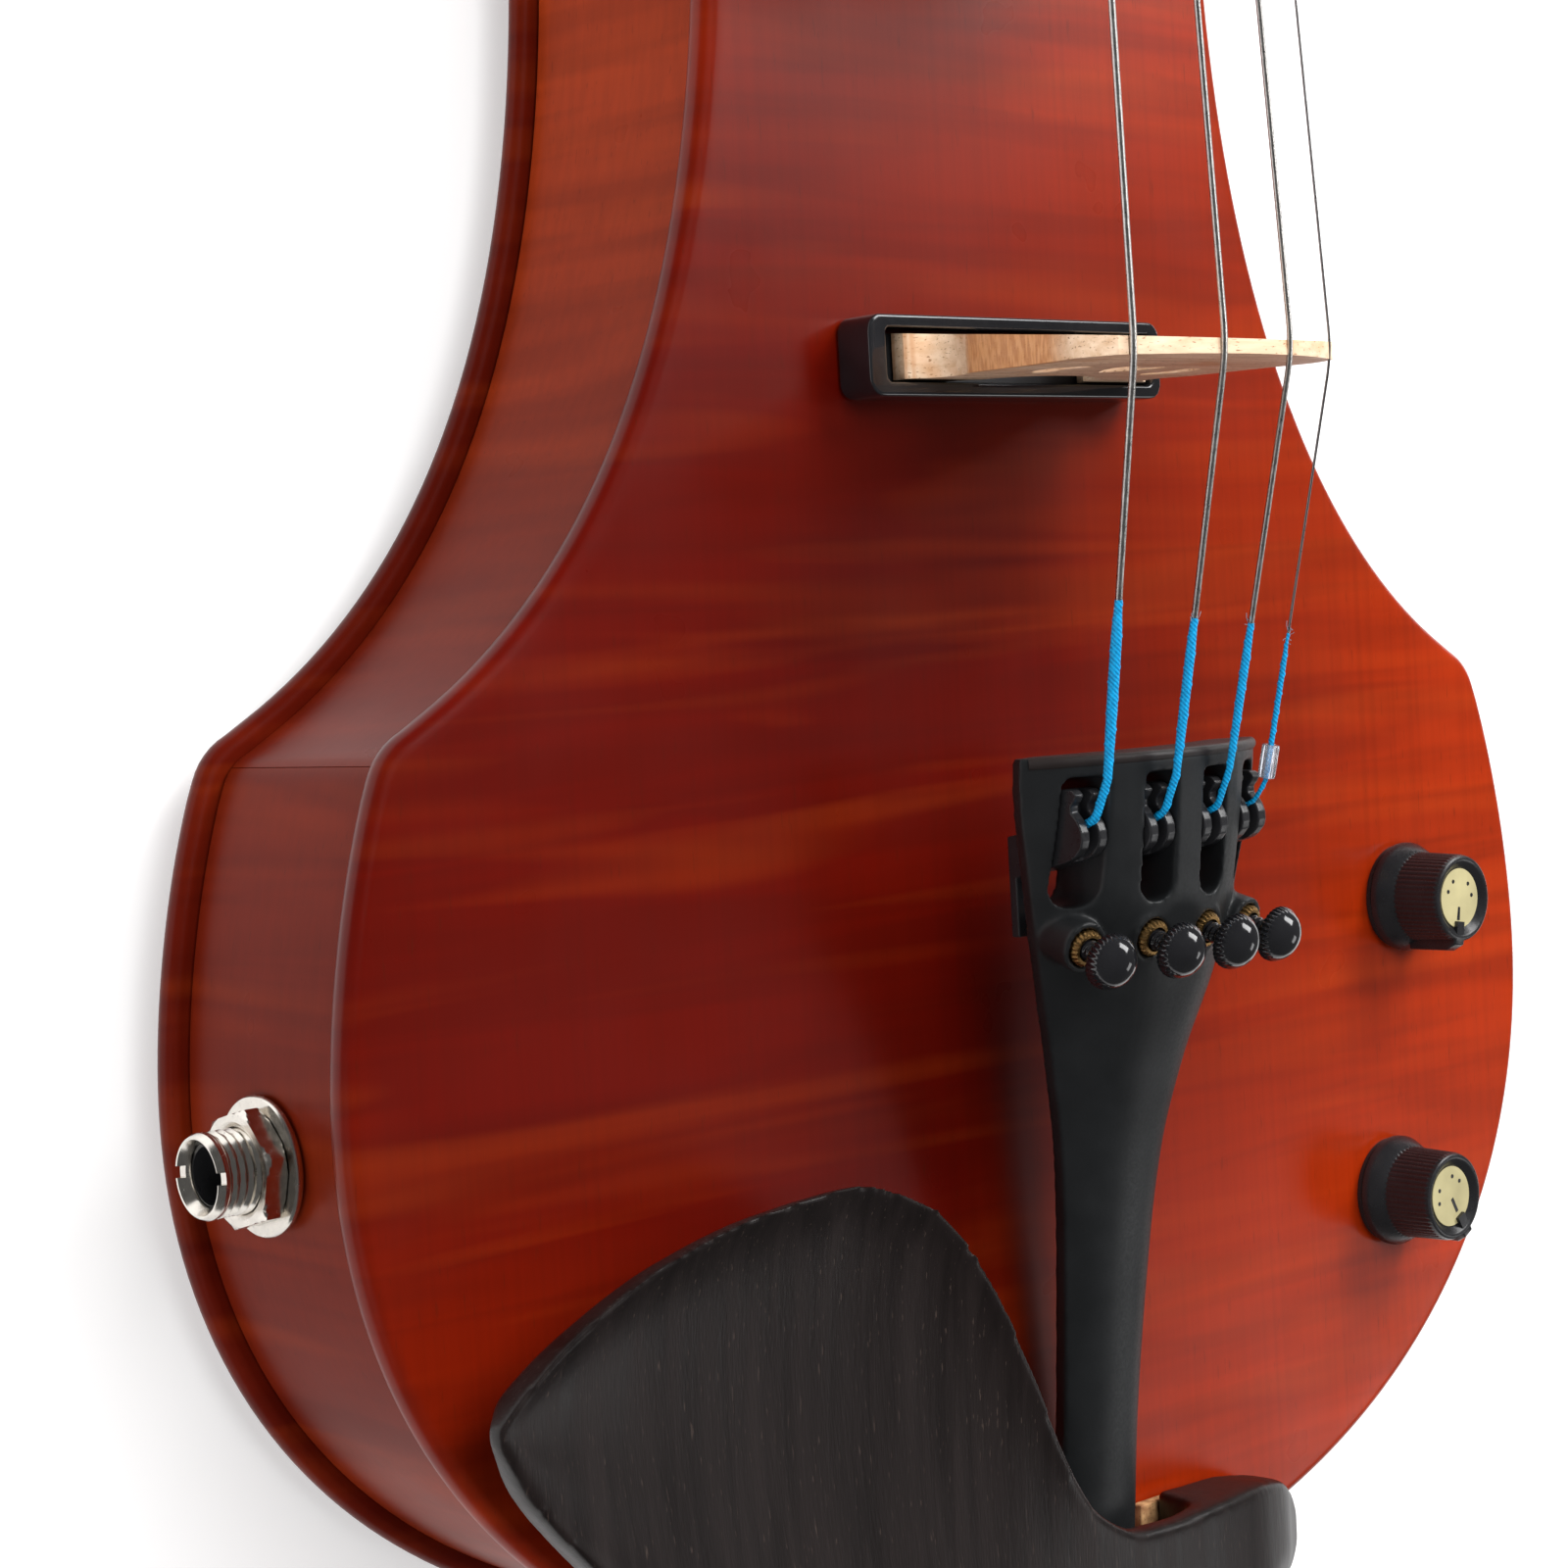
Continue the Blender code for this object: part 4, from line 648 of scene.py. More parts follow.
def make_stage():
    bm = bmesh.new()
    bmesh.ops.create_grid(bm, x_segments=8, y_segments=8, size=4)
    floor = bpy.data.objects.new("floor", mesh_from(bm, "floor"))
    floor.location.z = -FLOOR_DROP
    SCENE.collection.objects.link(floor)
    made, tree, shader = new_material("floor_paper", Roughness=0.9, Emission_Color=(1, 1, 1, 1))
    shader.inputs["Emission Strength"].default_value = 0.42
    cloud = noise(tree, (30, 30, 30), 2.0)
    link(tree, mixed(tree, cloud, (0.62, 0.62, 0.62), (0.66, 0.66, 0.66)), shader, "Base Color")
    floor.data.materials.append(made)


def make_light(name, place, target, size, energy, mirrored=False):
    """A soft box. Only a mirrored one shows as a reflection in the lacquer and the metal."""
    data = bpy.data.lights.new(name, "AREA")
    data.shape = "RECTANGLE"
    data.size, data.size_y = size
    data.energy = energy
    light = bpy.data.objects.new(name, data)
    light.location = place
    light.visible_glossy = mirrored
    light.rotation_euler = (Vector(place) - Vector(target)).to_track_quat("Z", "Y").to_euler()
    SCENE.collection.objects.link(light)


def make_lights():
    world = bpy.data.worlds.new("studio")
    world.use_nodes = True
    world.node_tree.nodes["Background"].inputs["Color"].default_value = (1, 1, 1, 1)
    world.node_tree.nodes["Background"].inputs["Strength"].default_value = 0.10
    SCENE.world = world
    make_light("key", (0.55, 0.95, 0.95), (0, -0.03, 0.04), (0.6, 0.6), 20)
    make_light("overhead", (-0.25, 0.45, 1.15), (0, -0.03, 0.04), (0.8, 0.8), 13)
    make_light("fill", (-0.95, -0.45, 0.5), (-0.05, -0.08, 0.03), (0.7, 0.7), 7)
    make_light("far_window", (0.78, 0.68, 0.94), (-0.04, 0.10, 0.04), (0.8, 0.5), 11, True)
    make_light("near_window", (1.18, -0.66, 0.94), (0.06, -0.15, 0.04), (0.5, 0.4), 1.6, True)


def make_camera():
    """A long lens on the bass side. Its angles are from straight above, and it rolls a little."""
    target = Vector((-38.8 * MM, -46.4 * MM, TOP_Z))
    distance = 359.4 * MM
    turn, tip, roll = math.radians(41.41), math.radians(2.80), math.radians(-3.25)
    back = Vector((-math.sin(turn) * math.cos(tip), math.sin(tip), math.cos(turn) * math.cos(tip)))
    right = Vector((0, 1, 0)).cross(back).normalized()
    up = back.cross(right)
    rolled_right = right * math.cos(roll) + up * math.sin(roll)
    rolled_up = up * math.cos(roll) - right * math.sin(roll)
    data = bpy.data.cameras.new("camera")
    data.lens = 71.75
    data.sensor_width = 36
    data.clip_start = 10 * MM
    camera = bpy.data.objects.new("camera", data)
    axes = Matrix((rolled_right, rolled_up, back)).transposed().to_4x4()
    camera.matrix_world = Matrix.Translation(target + back * distance) @ axes
    SCENE.collection.objects.link(camera)
    SCENE.camera = camera


SCENE.view_settings.view_transform = "Standard"
make_stage()
make_lights()
make_camera()


# ---------------------------------------------------------------- body


def rounded_corner(before, corner, after):
    """A short curve across a corner of the outline."""
    corner = Vector(corner)
    start = corner + (before - corner).normalized() * CORNER_CUT
    end = corner + (Vector(after) - corner).normalized() * CORNER_CUT
    parts = [k / 6 for k in range(7)]
    return [start * (1 - t) ** 2 + corner * 2 * t * (1 - t) + end * t * t for t in parts]


def half_outline():
    """The treble half of the outline from bottom to top: Bezier stretches between rounded corners."""
    low_x, low_y = LOWER_CORNER
    up_x, up_y = UPPER_CORNER
    widest = (LOWER_HALF_WIDTH, BODY_BOTTOM_Y + 75.5 * MM)
    waist = (WAIST_HALF_WIDTH, 66 * MM)
    shoulder = (UPPER_HALF_WIDTH, BODY_TOP_Y - 33 * MM)
    neck = (NECK_JOINT_HALF_WIDTH, BODY_TOP_Y)
    lower_start = [(0, BODY_BOTTOM_Y), (62.4 * MM, BODY_BOTTOM_Y)]
    lower = bezier([*lower_start, (LOWER_HALF_WIDTH, widest[1] - 43.6 * MM), widest], 56)
    lower_end = [(LOWER_HALF_WIDTH, low_y - 28 * MM), (low_x + 5 * MM, low_y - 11.6 * MM)]
    lower += bezier([widest, *lower_end, LOWER_CORNER], 20)[:-2]
    waist_start = (low_x - 29.9 * MM, low_y + 13.9 * MM)
    middle = bezier([LOWER_CORNER, waist_start, (WAIST_HALF_WIDTH, low_y + 47.9 * MM), waist], 44)[3:]
    waist_end = [(WAIST_HALF_WIDTH, up_y - 36 * MM), (up_x - 21 * MM, up_y - 7 * MM)]
    middle += bezier([waist, *waist_end, UPPER_CORNER], 34)[:-3]
    upper_start = [(up_x + 4 * MM, up_y + 7 * MM), (UPPER_HALF_WIDTH, up_y + 12 * MM)]
    upper = bezier([UPPER_CORNER, *upper_start, shoulder], 14)[4:]
    upper += bezier([shoulder, (UPPER_HALF_WIDTH, BODY_TOP_Y - 10 * MM), (46 * MM, BODY_TOP_Y), neck], 40)
    low_round = rounded_corner(lower[-1], LOWER_CORNER, waist_start)
    up_round = rounded_corner(middle[-1], UPPER_CORNER, upper[0])
    joint = [Vector((NECK_JOINT_HALF_WIDTH * (1 - k / 4), BODY_TOP_Y)) for k in range(5)]
    return [*lower, *low_round, *middle, *up_round, *upper, *joint]


def full_outline(half):
    return half + [Vector((-point.x, point.y)) for point in reversed(half)][1:-1]


def inward_normals(loop):
    """The inward direction at each point of a loop that runs anticlockwise."""
    made = []
    for k, point in enumerate(loop):
        along = (loop[(k + 1) % len(loop)] - loop[k - 1]).normalized()
        made.append(Vector((-along.y, along.x)))
    return made


def distance_to_line(point, start, end):
    _, part = geometry.intersect_point_line(point, start, end)
    part = max(0.0, min(1.0, part))
    return (start + (end - start) * part - point).length


SPINE_LOW_Y, SPINE_HIGH_Y = -100 * MM, 166 * MM  # the centre line that a plate's sections run in to
RIM_COLUMNS = (0.03, 0.08, 0.16, 0.28, 0.42, 0.6, 0.8, 1)


def rim_plate(height, thickness, round_radius):
    """A plate with the body's outline and a rounded rim. height(inside) is its lower surface's height."""
    half = half_outline()
    loop = full_outline(half)
    normals = inward_normals(loop)
    rings = []
    turns = [math.radians(-90 + 15 * k) for k in range(13)]
    for point, normal in zip(loop, normals):
        spine = Vector((0, max(SPINE_LOW_Y, min(SPINE_HIGH_Y, point.y))))
        edge = point + normal * round_radius
        flat = [edge.lerp(spine, part) for part in RIM_COLUMNS]
        section = []
        for place in reversed(flat):
            inside = min(distance_to_line(place, a, b) for a, b in zip(loop[::2], [*loop[2::2], loop[0]]))
            section.append((place, height(inside)))
        low = [Vector((*place, z)) for place, z in section]
        high = [place + Vector((0, 0, thickness)) for place in reversed(low)]
        base = height(0.0) + thickness / 2
        rise = thickness / 2 - round_radius
        rim = []
        for turn in turns:
            place = point + normal * (round_radius * (1 - math.cos(turn)))
            z = base + math.copysign(rise, turn) + round_radius * math.sin(turn)
            rim.append(Vector((*place, z)))
        rings.append([*low, *rim, *high])
    bm = bmesh.new()
    rows = [[bm.verts.new(point) for point in ring] for ring in rings]
    for k, row in enumerate(rows):
        after = rows[(k + 1) % len(rows)]
        for j in range(len(row) - 1):
            bm.faces.new((row[j], after[j], after[j + 1], row[j + 1]))
    bmesh.ops.remove_doubles(bm, verts=bm.verts, dist=0.002 * MM)
    return mesh_from(bm)


def knob_hole(name):
    place = centre_of(f"{name}_shaft")
    return cylinder_mesh((place.x, place.y, TOP_Z - 9 * MM), (place.x, place.y, TOP_Z + 5 * MM), 4.2 * MM)


def make_plates():
    top = rim_plate(lambda inside: TOP_Z - TOP_THICKNESS, TOP_THICKNESS, 1.95 * MM)
    top = cut(top, knob_hole("volume"), knob_hole("tone"))
    add("top_plate_lacquered", top, TOP_WOOD, replaces=["top_plate"])
    back = rim_plate(
        lambda inside: BACK_ARCH * (1 - smoothstep(inside / BACK_ARCH_WIDTH)), BACK_THICKNESS, 1.7 * MM
    )
    add("back_plate_lacquered", back, BACK_WOOD, replaces=["back_plate"])


def offset_half(half, distance):
    """The half outline moved inwards. Points that a corner overtakes are dropped."""
    loop = full_outline(half)
    normals = inward_normals(loop)
    moved = []
    for k, point in enumerate(half):
        place = point + normals[k] * distance
        nearest = min(distance_to_line(place, a, b) for a, b in zip(half, half[1:]))
        if nearest > distance * 0.985:
            moved.append(place)
    return moved


def make_ribs():
    """Three bent ribs a side, which meet at the corners with a fine joint."""
    half = half_outline()
    outer = offset_half(half, EDGE_OVERHANG)
    ends = [0]
    for corner in (LOWER_CORNER, UPPER_CORNER):
        ends.append(min(range(len(outer)), key=lambda k: (outer[k] - Vector(corner)).length))
    ends.append(len(outer) - 1)
    through, past = 15 * MM, 5 * MM
    jack_end = (-LOWER_HALF_WIDTH - past, JACK_Y, JACK_Z)
    jack = cylinder_mesh(jack_end, (-85 * MM, JACK_Y, JACK_Z), 5.1 * MM)
    button_end = (0, BODY_BOTTOM_Y - past, JACK_Z)
    button = cylinder_mesh(button_end, (0, BODY_BOTTOM_Y + through, JACK_Z), 3.8 * MM)
    for name, start, end in zip(("lower", "waist", "upper"), ends, ends[1:]):
        line = outer[start : end + 1]
        joint = 0.06 * MM
        line[0] = line[0] + (line[1] - line[0]).normalized() * joint
        line[-1] = line[-1] + (line[-2] - line[-1]).normalized() * joint
        inner = []
        for k, point in enumerate(line):
            along = (line[min(k + 1, len(line) - 1)] - line[max(k - 1, 0)]).normalized()
            inner.append(point + Vector((-along.y, along.x)) * RIB_THICKNESS)
        for side, sign in (("bass", -1), ("treble", 1)):
            rings = []
            for out, back in zip(line, inner):
                soft = 0.15 * MM
                ring = [(*out, RIB_LOW_Z + soft), (*out, RIB_HIGH_Z - soft)]
                middle = out.lerp(back, 0.1)
                ring = [(*middle, RIB_LOW_Z), *ring, (*middle, RIB_HIGH_Z)]
                ring += [(*back, RIB_HIGH_Z), (*back, RIB_LOW_Z)]
                rings.append([(sign * x, y, z) for x, y, z in ring])
            mesh = loft_mesh(rings)
            if name == "lower":
                mesh = cut(mesh, button.copy())
            if name == "lower" and side == "bass":
                mesh = cut(mesh, jack.copy())
            node_name = f"{side}_{name}_rib"
            add(f"{node_name}_lacquered", mesh, RIB_WOOD, replaces=[node_name])


def keep_inner_parts():
    for name in ("neck_block", "end_block"):
        keep(name, PLAIN_WOOD)
    for side in ("bass", "treble"):
        for name in ("lower", "upper"):
            keep(f"{side}_{name}_corner_block", PLAIN_WOOD)
    for name in ("volume", "tone"):
        keep(f"{name}_pot", NICKEL)
        keep(f"{name}_shaft", NICKEL)


make_plates()
make_ribs()
keep_inner_parts()


# ---------------------------------------------------------------- neck, fingerboard and pegs


def string_line_z(y):
    return blend(CROWN_Z, NUT_STRING_Z, y / STRING_LENGTH)


BOARD_END_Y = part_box("fingerboard")[0].y
BOARD_NUT_Z = NUT_STRING_Z - 0.7 * MM
BOARD_END_Z = string_line_z(BOARD_END_Y) - 4.6 * MM
BOARD_END_HALF, BOARD_NUT_HALF = 21 * MM, 12 * MM
BOARD_SIDE = 5 * MM


def crown_drop(x):
    return CROWN_RADIUS - math.sqrt(CROWN_RADIUS**2 - x**2)


def board_part(y):
    return (y - BOARD_END_Y) / (NUT_Y - BOARD_END_Y)


def board_top(y):
    return blend(BOARD_END_Z, BOARD_NUT_Z, board_part(y))


def board_half_width(y):
    return blend(BOARD_END_HALF, BOARD_NUT_HALF, board_part(y))


def board_bottom(y):
    drop = blend(crown_drop(BOARD_END_HALF), crown_drop(BOARD_NUT_HALF), board_part(y))
    return board_top(y) - drop - BOARD_SIDE


def crowned_ring(y, half, crown, low):
    """A ring across the fingerboard or the nut, crowned above and hollowed a little below."""
    xs = [blend(-half, half, j / 24) for j in range(25)]
    return [(x, y, crown - crown_drop(x)) for x in xs] + [(half, y, low), (-half, y, low)]


def make_fingerboard():
    low_y, high_y = BOARD_END_Y, NUT_Y - 0.3 * MM
    stations = [blend(low_y, high_y, k / 24) for k in range(25)]
    rings = [crowned_ring(y, board_half_width(y), board_top(y), board_bottom(y)) for y in stations]
    mesh = bevelled(loft_mesh(rings), 0.9 * MM, 4)
    add("fingerboard_ebony", mesh, BOARD_EBONY, replaces=["fingerboard"])


def make_nut():
    rings = []
    for y, lift in ((0, 0.35), (1.2, 0.38), (2.2, 0.25), (3.6, -0.5), (4.8, -1.4), (5.5, -2)):
        crown = BOARD_NUT_Z + lift * MM
        rings.append(crowned_ring(NUT_Y + y * MM, BOARD_NUT_HALF, crown, board_bottom(NUT_Y)))
    nut = loft_mesh(rings)
    slots = []
    for string in STRINGS:
        x, z = nut_place(string)
        start = Vector((x, NUT_Y - 1 * MM, z + 0.05 * MM))
        slots.append(cylinder_mesh(start, start + Vector((0, 8 * MM, -2.0 * MM)), 0.45 * MM, 16))
    nut = cut(bevelled(nut, 0.5 * MM, 3), *slots)
    add("nut_ebony", nut, BOARD_EBONY, replaces=["nut"], sharp=30)


def nut_place(string):
    x = string_x(string, SPACING_NUT)
    return x, BOARD_NUT_Z + 0.35 * MM - crown_drop(x) + 0.1 * MM


def scroll_turns(centre, side):
    """One face of the scroll: a ridge that winds in to the eye and stands out as it goes."""
    points = []
    for k in range(97):
        part = k / 96
        turn = math.radians(100 - 690 * part)
        reach = blend(12.6, 2.6, part**0.82) * MM
        out = blend(6.5, 15.2, smoothstep(part * 1.1)) * MM
        points.append((side * out, centre.y + reach * math.cos(turn), centre.z + reach * math.sin(turn)))
    return points


def make_neck():
    """The neck, softened from its solid, with a winding scroll on each side."""
    neck = softened(copy_of("neck"), 0.75 * MM, 10)
    add("neck_carved", neck, NECK_WOOD, replaces=["neck"], sharp=75)
    eye = Vector((0, NUT_Y + 82 * MM, board_bottom(NUT_Y) - 19 * MM))
    for name, side in (("bass", -1), ("treble", 1)):
        path = scroll_turns(eye, side)
        radii = [blend(1.0, 0.62, k / 96) for k in range(97)]
        mesh = tube_mesh(path, 2.1 * MM, 5, radii)
        add(f"scroll_volute_{name}", mesh, NECK_WOOD, sharp=60)


def peg_facts(string):
    """The peg's thin end, the direction to its head, and the sign of its side."""
    low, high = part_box(f"peg_{string}")
    side = 1 if abs(high.x) > abs(low.x) else -1
    centre = (low + high) / 2
    return Vector((-side * 14 * MM, centre.y, centre.z)), side


# Along a peg's head, in mm: the distance from the peg's thin end, half the thickness and half the width
PEG_HEAD_STATIONS = (
    (34.6, 2.2, 2.3), (36.0, 2.5, 3.0), (38.0, 2.6, 4.9), (40.2, 2.5, 7.0), (43.0, 2.3, 8.2),
    (46.0, 2.2, 8.4), (49.0, 2.3, 7.9), (52.0, 2.5, 6.4), (54.4, 2.3, 4.2), (55.9, 1.6, 2.1),
)


def peg_head(start, side):
    """A flat heart-shaped head with a shallow hollow on each face."""
    rings = []
    for reach, thick, wide in PEG_HEAD_STATIONS:
        x = start.x + side * reach * MM
        ring = []
        for k in range(40):
            turn = 2 * math.pi * k / 40
            sine, cosine = math.sin(turn), math.cos(turn)
            hollow = 1 - 0.22 * abs(sine) ** 0.5 * abs(cosine) ** 0.5
            ring.append((x, start.y + thick * MM * cosine * hollow, start.z + wide * MM * sine))
        rings.append(ring)
    return loft_mesh(rings)


def make_pegs():
    for string in STRINGS:
        start, side = peg_facts(string)
        away = Vector((side, 0, 0))
        profile = [(0, 0.2), (1.6, 0), (2.4, 0.25), (2.8, 0.9), (3.62, 29.0), (4.2, 29.2), (4.55, 29.7)]
        profile += [(4.6, 30.4), (4.3, 31.0), (3.6, 31.3), (3.5, 31.7), (3.8, 32.0), (3.4, 32.6), (2.9, 34)]
        profile += [(2.8, 35.6), (1.5, 36.2)]
        shaft = turned_mesh(in_mm(profile), start, away)
        pip = [(0.2, 0), (1.15, 0.35), (1.5, 1.2), (1.15, 2.0), (0.2, 2.35)]
        pip_mesh = turned_mesh(in_mm(pip), start + away * 54.6 * MM, away, 32)
        head = softened(joined(shaft, [peg_head(start, side), pip_mesh]), 0.3 * MM, 4)
        name = f"peg_{string}"
        add(f"{name}_turned", head, EBONY, name, [name], 60)
        make_peg_winding(string, start, away)


def make_peg_winding(string, start, away):
    """The string's turns on its peg, which turn with it."""
    radius = STRING_RADII[string]
    x = string_x(string, SPACING_NUT) * 0.45
    reach = abs(x - start.x)
    peg_radius = blend(2.85, 3.62, reach / (29 * MM)) * MM + radius
    points = []
    for k in range(113):
        turn = 2 * math.pi * k / 28 + math.pi / 2
        along = x - away.x * (k / 28 - 0.2) * radius * 2.15
        points.append((along, start.y - peg_radius * math.cos(turn), start.z + peg_radius * math.sin(turn)))
    mesh = tube_mesh(points, radius, 3)
    add(f"peg_winding_{string}", mesh, string_look(string), f"peg_{string}", (), 60)


# ---------------------------------------------------------------- bridge and strings


def crown_z(x):
    return CROWN_Z - crown_drop(x)


PICKUP_TOP_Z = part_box("bridge_pickup")[1].z
BRIDGE_FOOT_Z = PICKUP_TOP_Z + 0.3 * MM
BRIDGE_FOOT_Y = (-0.25 * MM, 5.3 * MM)
BRIDGE_CROWN_Y = (-0.75 * MM, 0.95 * MM)


def string_x(string, spacing):
    return (STRINGS.index(string) - 1.5) * spacing


def string_look(string):
    """The top string is plain steel, and the others are wound."""
    return STEEL if string == "e" else WINDING


def bridge_loop():
    """The bridge's outline as (x, height): from the arch round a foot and a wing to the crown."""
    tall = CROWN_Z - BRIDGE_FOOT_Z
    side = [(0, 9.5), (2.6, 9.3), (5, 8.4), (6.9, 7.0), (8.2, 5.2), (8.8, 3.2), (10.2, 2.2)]
    side += [(10.9, 1.2), (11, 0.1), (11.4, 0), (20.2, 0), (20.6, 0.2), (20.8, 2.4), (20.2, 3.2)]
    side += [(18.9, 3.9), (17.9, 4.9), (17.35, 6.2), (17.3, 7.6), (17.7, 9.2), (18.5, 10.4), (19.0, 12)]
    side += [(19.1, 15), (19.25, 19), (19.5, 23), (19.9, 26), (20.4, 28.2), (20.45, 29.2), (20.2, 30.4)]
    side += [(19.8, 31.6), (19.3, 32.7)]
    points = in_mm(side)
    edge = 18.6 * MM
    for k in range(20):
        x = blend(edge, 0, k / 20)
        points.append((x, tall - crown_drop(x)))
    return points + [(0, tall)] + [(-x, y) for x, y in reversed(points)][:-1]


def make_bridge():
    tall = CROWN_Z - BRIDGE_FOOT_Z
    heart = [(0, 14), (1.4, 15.6), (2.6, 17.2), (3.6, 20), (2.8, 21.9), (1.5, 21.8), (0, 20.2)]
    heart += [(-x, y) for x, y in reversed(heart[1:-1])]
    kidney = [(9.4, 12.2), (11.2, 13.6), (12.0, 16), (11.6, 19), (9.9, 21), (8.3, 20.2)]
    kidney += [(9.0, 17), (8.1, 13.8)]
    holes = [smooth_loop(in_mm(heart), 4)]
    holes += [smooth_loop(in_mm((sign * x, y) for x, y in kidney), 4) for sign in (1, -1)]
    mesh = plate_mesh(bridge_loop(), 0, 1, holes)
    for vert in mesh.vertices:
        x, height, face = vert.co
        rise = height / tall
        tail = blend(BRIDGE_FOOT_Y[0], BRIDGE_CROWN_Y[0], rise)
        scroll = blend(BRIDGE_FOOT_Y[1], BRIDGE_CROWN_Y[1], rise)
        vert.co = (x, scroll if face < 0.5 else tail, BRIDGE_FOOT_Z + height)
    bm = bmesh.new()
    bm.from_mesh(mesh)
    mesh = bevelled(mesh_from(bm), 0.22 * MM, 3)
    notches = []
    for string in STRINGS:
        x = string_x(string, SPACING_BRIDGE)
        radius = max(STRING_RADII[string], 0.3 * MM)
        start = Vector((x, -3 * MM, crown_z(x) + radius * 0.35))
        notches.append(cylinder_mesh(start, start + Vector((0, 8 * MM, 0)), radius, 16))
    mesh = cut(mesh, *notches)
    add("bridge_carved", mesh, BRIDGE_WOOD, replaces=["bridge"], sharp=30)


def make_bridge_frame():
    low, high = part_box("bridge_frame")
    outer = rounded_rectangle((low.x, high.x), (low.y, high.y), 2 * MM)
    inner = rounded_rectangle((-24.4 * MM, 21.5 * MM), (-0.7 * MM, 5.7 * MM), 0.8 * MM)
    mesh = softened(plate_mesh(outer, low.z, high.z, [inner]), 0.22 * MM, 5)
    add("bridge_frame_moulded", mesh, GLOSS_BLACK, replaces=["bridge_frame"], sharp=60)
    keep("bridge_pickup", PICKUP_CASE)


def string_anchor(string):
    """The end of a string in its lever's fork, and the bend where it leaves the fork."""
    x = string_x(string, SPACING_TAIL)
    crown = tail_bed(x, TUNER_PIVOT_Y)
    bend = (6.1 * MM, 6.2 * MM) if string == "e" else (8.2 * MM, 6.6 * MM)
    places = ((3.0 * MM, 2.8 * MM), (3.8 * MM, 4.5 * MM), bend)
    return [Vector((x, TUNER_PIVOT_Y + ahead, crown + rise)) for ahead, rise in places]


def string_crown(string):
    x = string_x(string, SPACING_BRIDGE)
    return Vector((x, 0, crown_z(x) + STRING_RADII[string] + 0.02 * MM))


SILK_STARTS = {"g": -27.5, "d": -30.0, "a": -31.0, "e": -32.5}  # y of the silk's upper end, in mm
SILK_RADII = {"g": 0.64, "d": 0.56, "a": 0.50, "e": 0.34}  # in mm
SILK_THREAD_RADIUS = 0.075 * MM


def make_strings():
    for string in STRINGS:
        radius = STRING_RADII[string]
        nut_x, nut_z = nut_place(string)
        nut = Vector((nut_x, NUT_Y + 1 * MM, nut_z + radius + 0.05 * MM))
        peg_start, _ = peg_facts(string)
        end = Vector((nut_x * 0.45, peg_start.y - 1 * MM, peg_start.z + 3.5 * MM + radius))
        behind = nut + Vector((0, 4.4 * MM, -1.0 * MM))
        crown = string_crown(string)
        path = smooth_path([*string_anchor(string), crown, nut, behind, end], 8, 3 * MM)
        mesh = tube_mesh(path, radius, 4)
        replaced = [f"string_{string}"]
        add(f"string_{string}_wound", mesh, string_look(string), replaces=replaced, sharp=60)
        make_silk(string)


def make_silk(string):
    """The blue silk over the string's lower end, thickest in the middle, with its start frayed."""
    rng = random.Random(string)
    anchor = string_anchor(string)
    bend = anchor[-1]
    crown = string_crown(string)
    along = crown - bend
    start_part = (SILK_STARTS[string] * MM - bend.y) / along.y
    straight = [bend + along * (start_part * k / 60) for k in range(60, 0, -1)]
    path = [*straight, *reversed(smooth_path(anchor, 8, 2.2 * MM))]
    full = SILK_RADII[string] * MM
    thin = STRING_RADII[string] * 1.12 / full
    radii = []
    for k in range(len(path)):
        part = k / (len(path) - 1)
        swell = blend(thin, 1.0, smoothstep(part * 5)) - 0.22 * smoothstep((part - 0.5) * 2.2)
        radii.append(swell * (1 + rng.uniform(-0.025, 0.025)))
    mesh = tube_mesh(path, full, 5, radii)
    add(f"silk_{string}", mesh, SILK, sharp=60)
    thread_mesh = spiral_thread(path, [r * full for r in radii], 2.3 * MM if string == "e" else 3.6 * MM)
    add(f"silk_thread_{string}", thread_mesh, SILK, sharp=60)
    fibres = []
    top = path[0]
    for k in range(7):
        turn = rng.uniform(0, 2 * math.pi)
        out = Vector((math.cos(turn), 0.2, math.sin(turn))) * rng.uniform(0.35, 0.8) * MM
        base = top - along.normalized() * rng.uniform(-0.6, 1.4) * MM
        tip = base + out + along.normalized() * rng.uniform(-0.5, 1.6) * MM
        middle = base.lerp(tip, 0.5) + out * 0.35
        fibres.append(tube_mesh(smooth_path([base, middle, tip], 5, 0.5 * MM), 0.035 * MM, 1))
    add(f"silk_fray_{string}", merged(fibres), FRAY, sharp=60)


def merged(meshes):
    bm = bmesh.new()
    for mesh in meshes:
        bm.from_mesh(mesh)
    return mesh_from(bm)


def spiral_thread(path, radii, pitch):
    """A raised thread wound round the silk."""
    points = []
    travelled = 0.0
    for k in range(len(path) - 1):
        start, end = path[k], path[k + 1]
        span = (end - start).length
        steps = max(1, round(span / (pitch / 14)))
        along = (end - start).normalized()
        side = (Vector((1, 0, 0)) - along * along.x).normalized()
        across = along.cross(side)
        for j in range(steps):
            part = j / steps
            turn = 2 * math.pi * (travelled + span * part) / pitch
            radius = blend(radii[k], radii[k + 1], part)
            out = side * math.cos(turn) + across * math.sin(turn)
            points.append(start.lerp(end, part) + out * radius)
        travelled += span
    return tube_mesh(points, SILK_THREAD_RADIUS, 2)


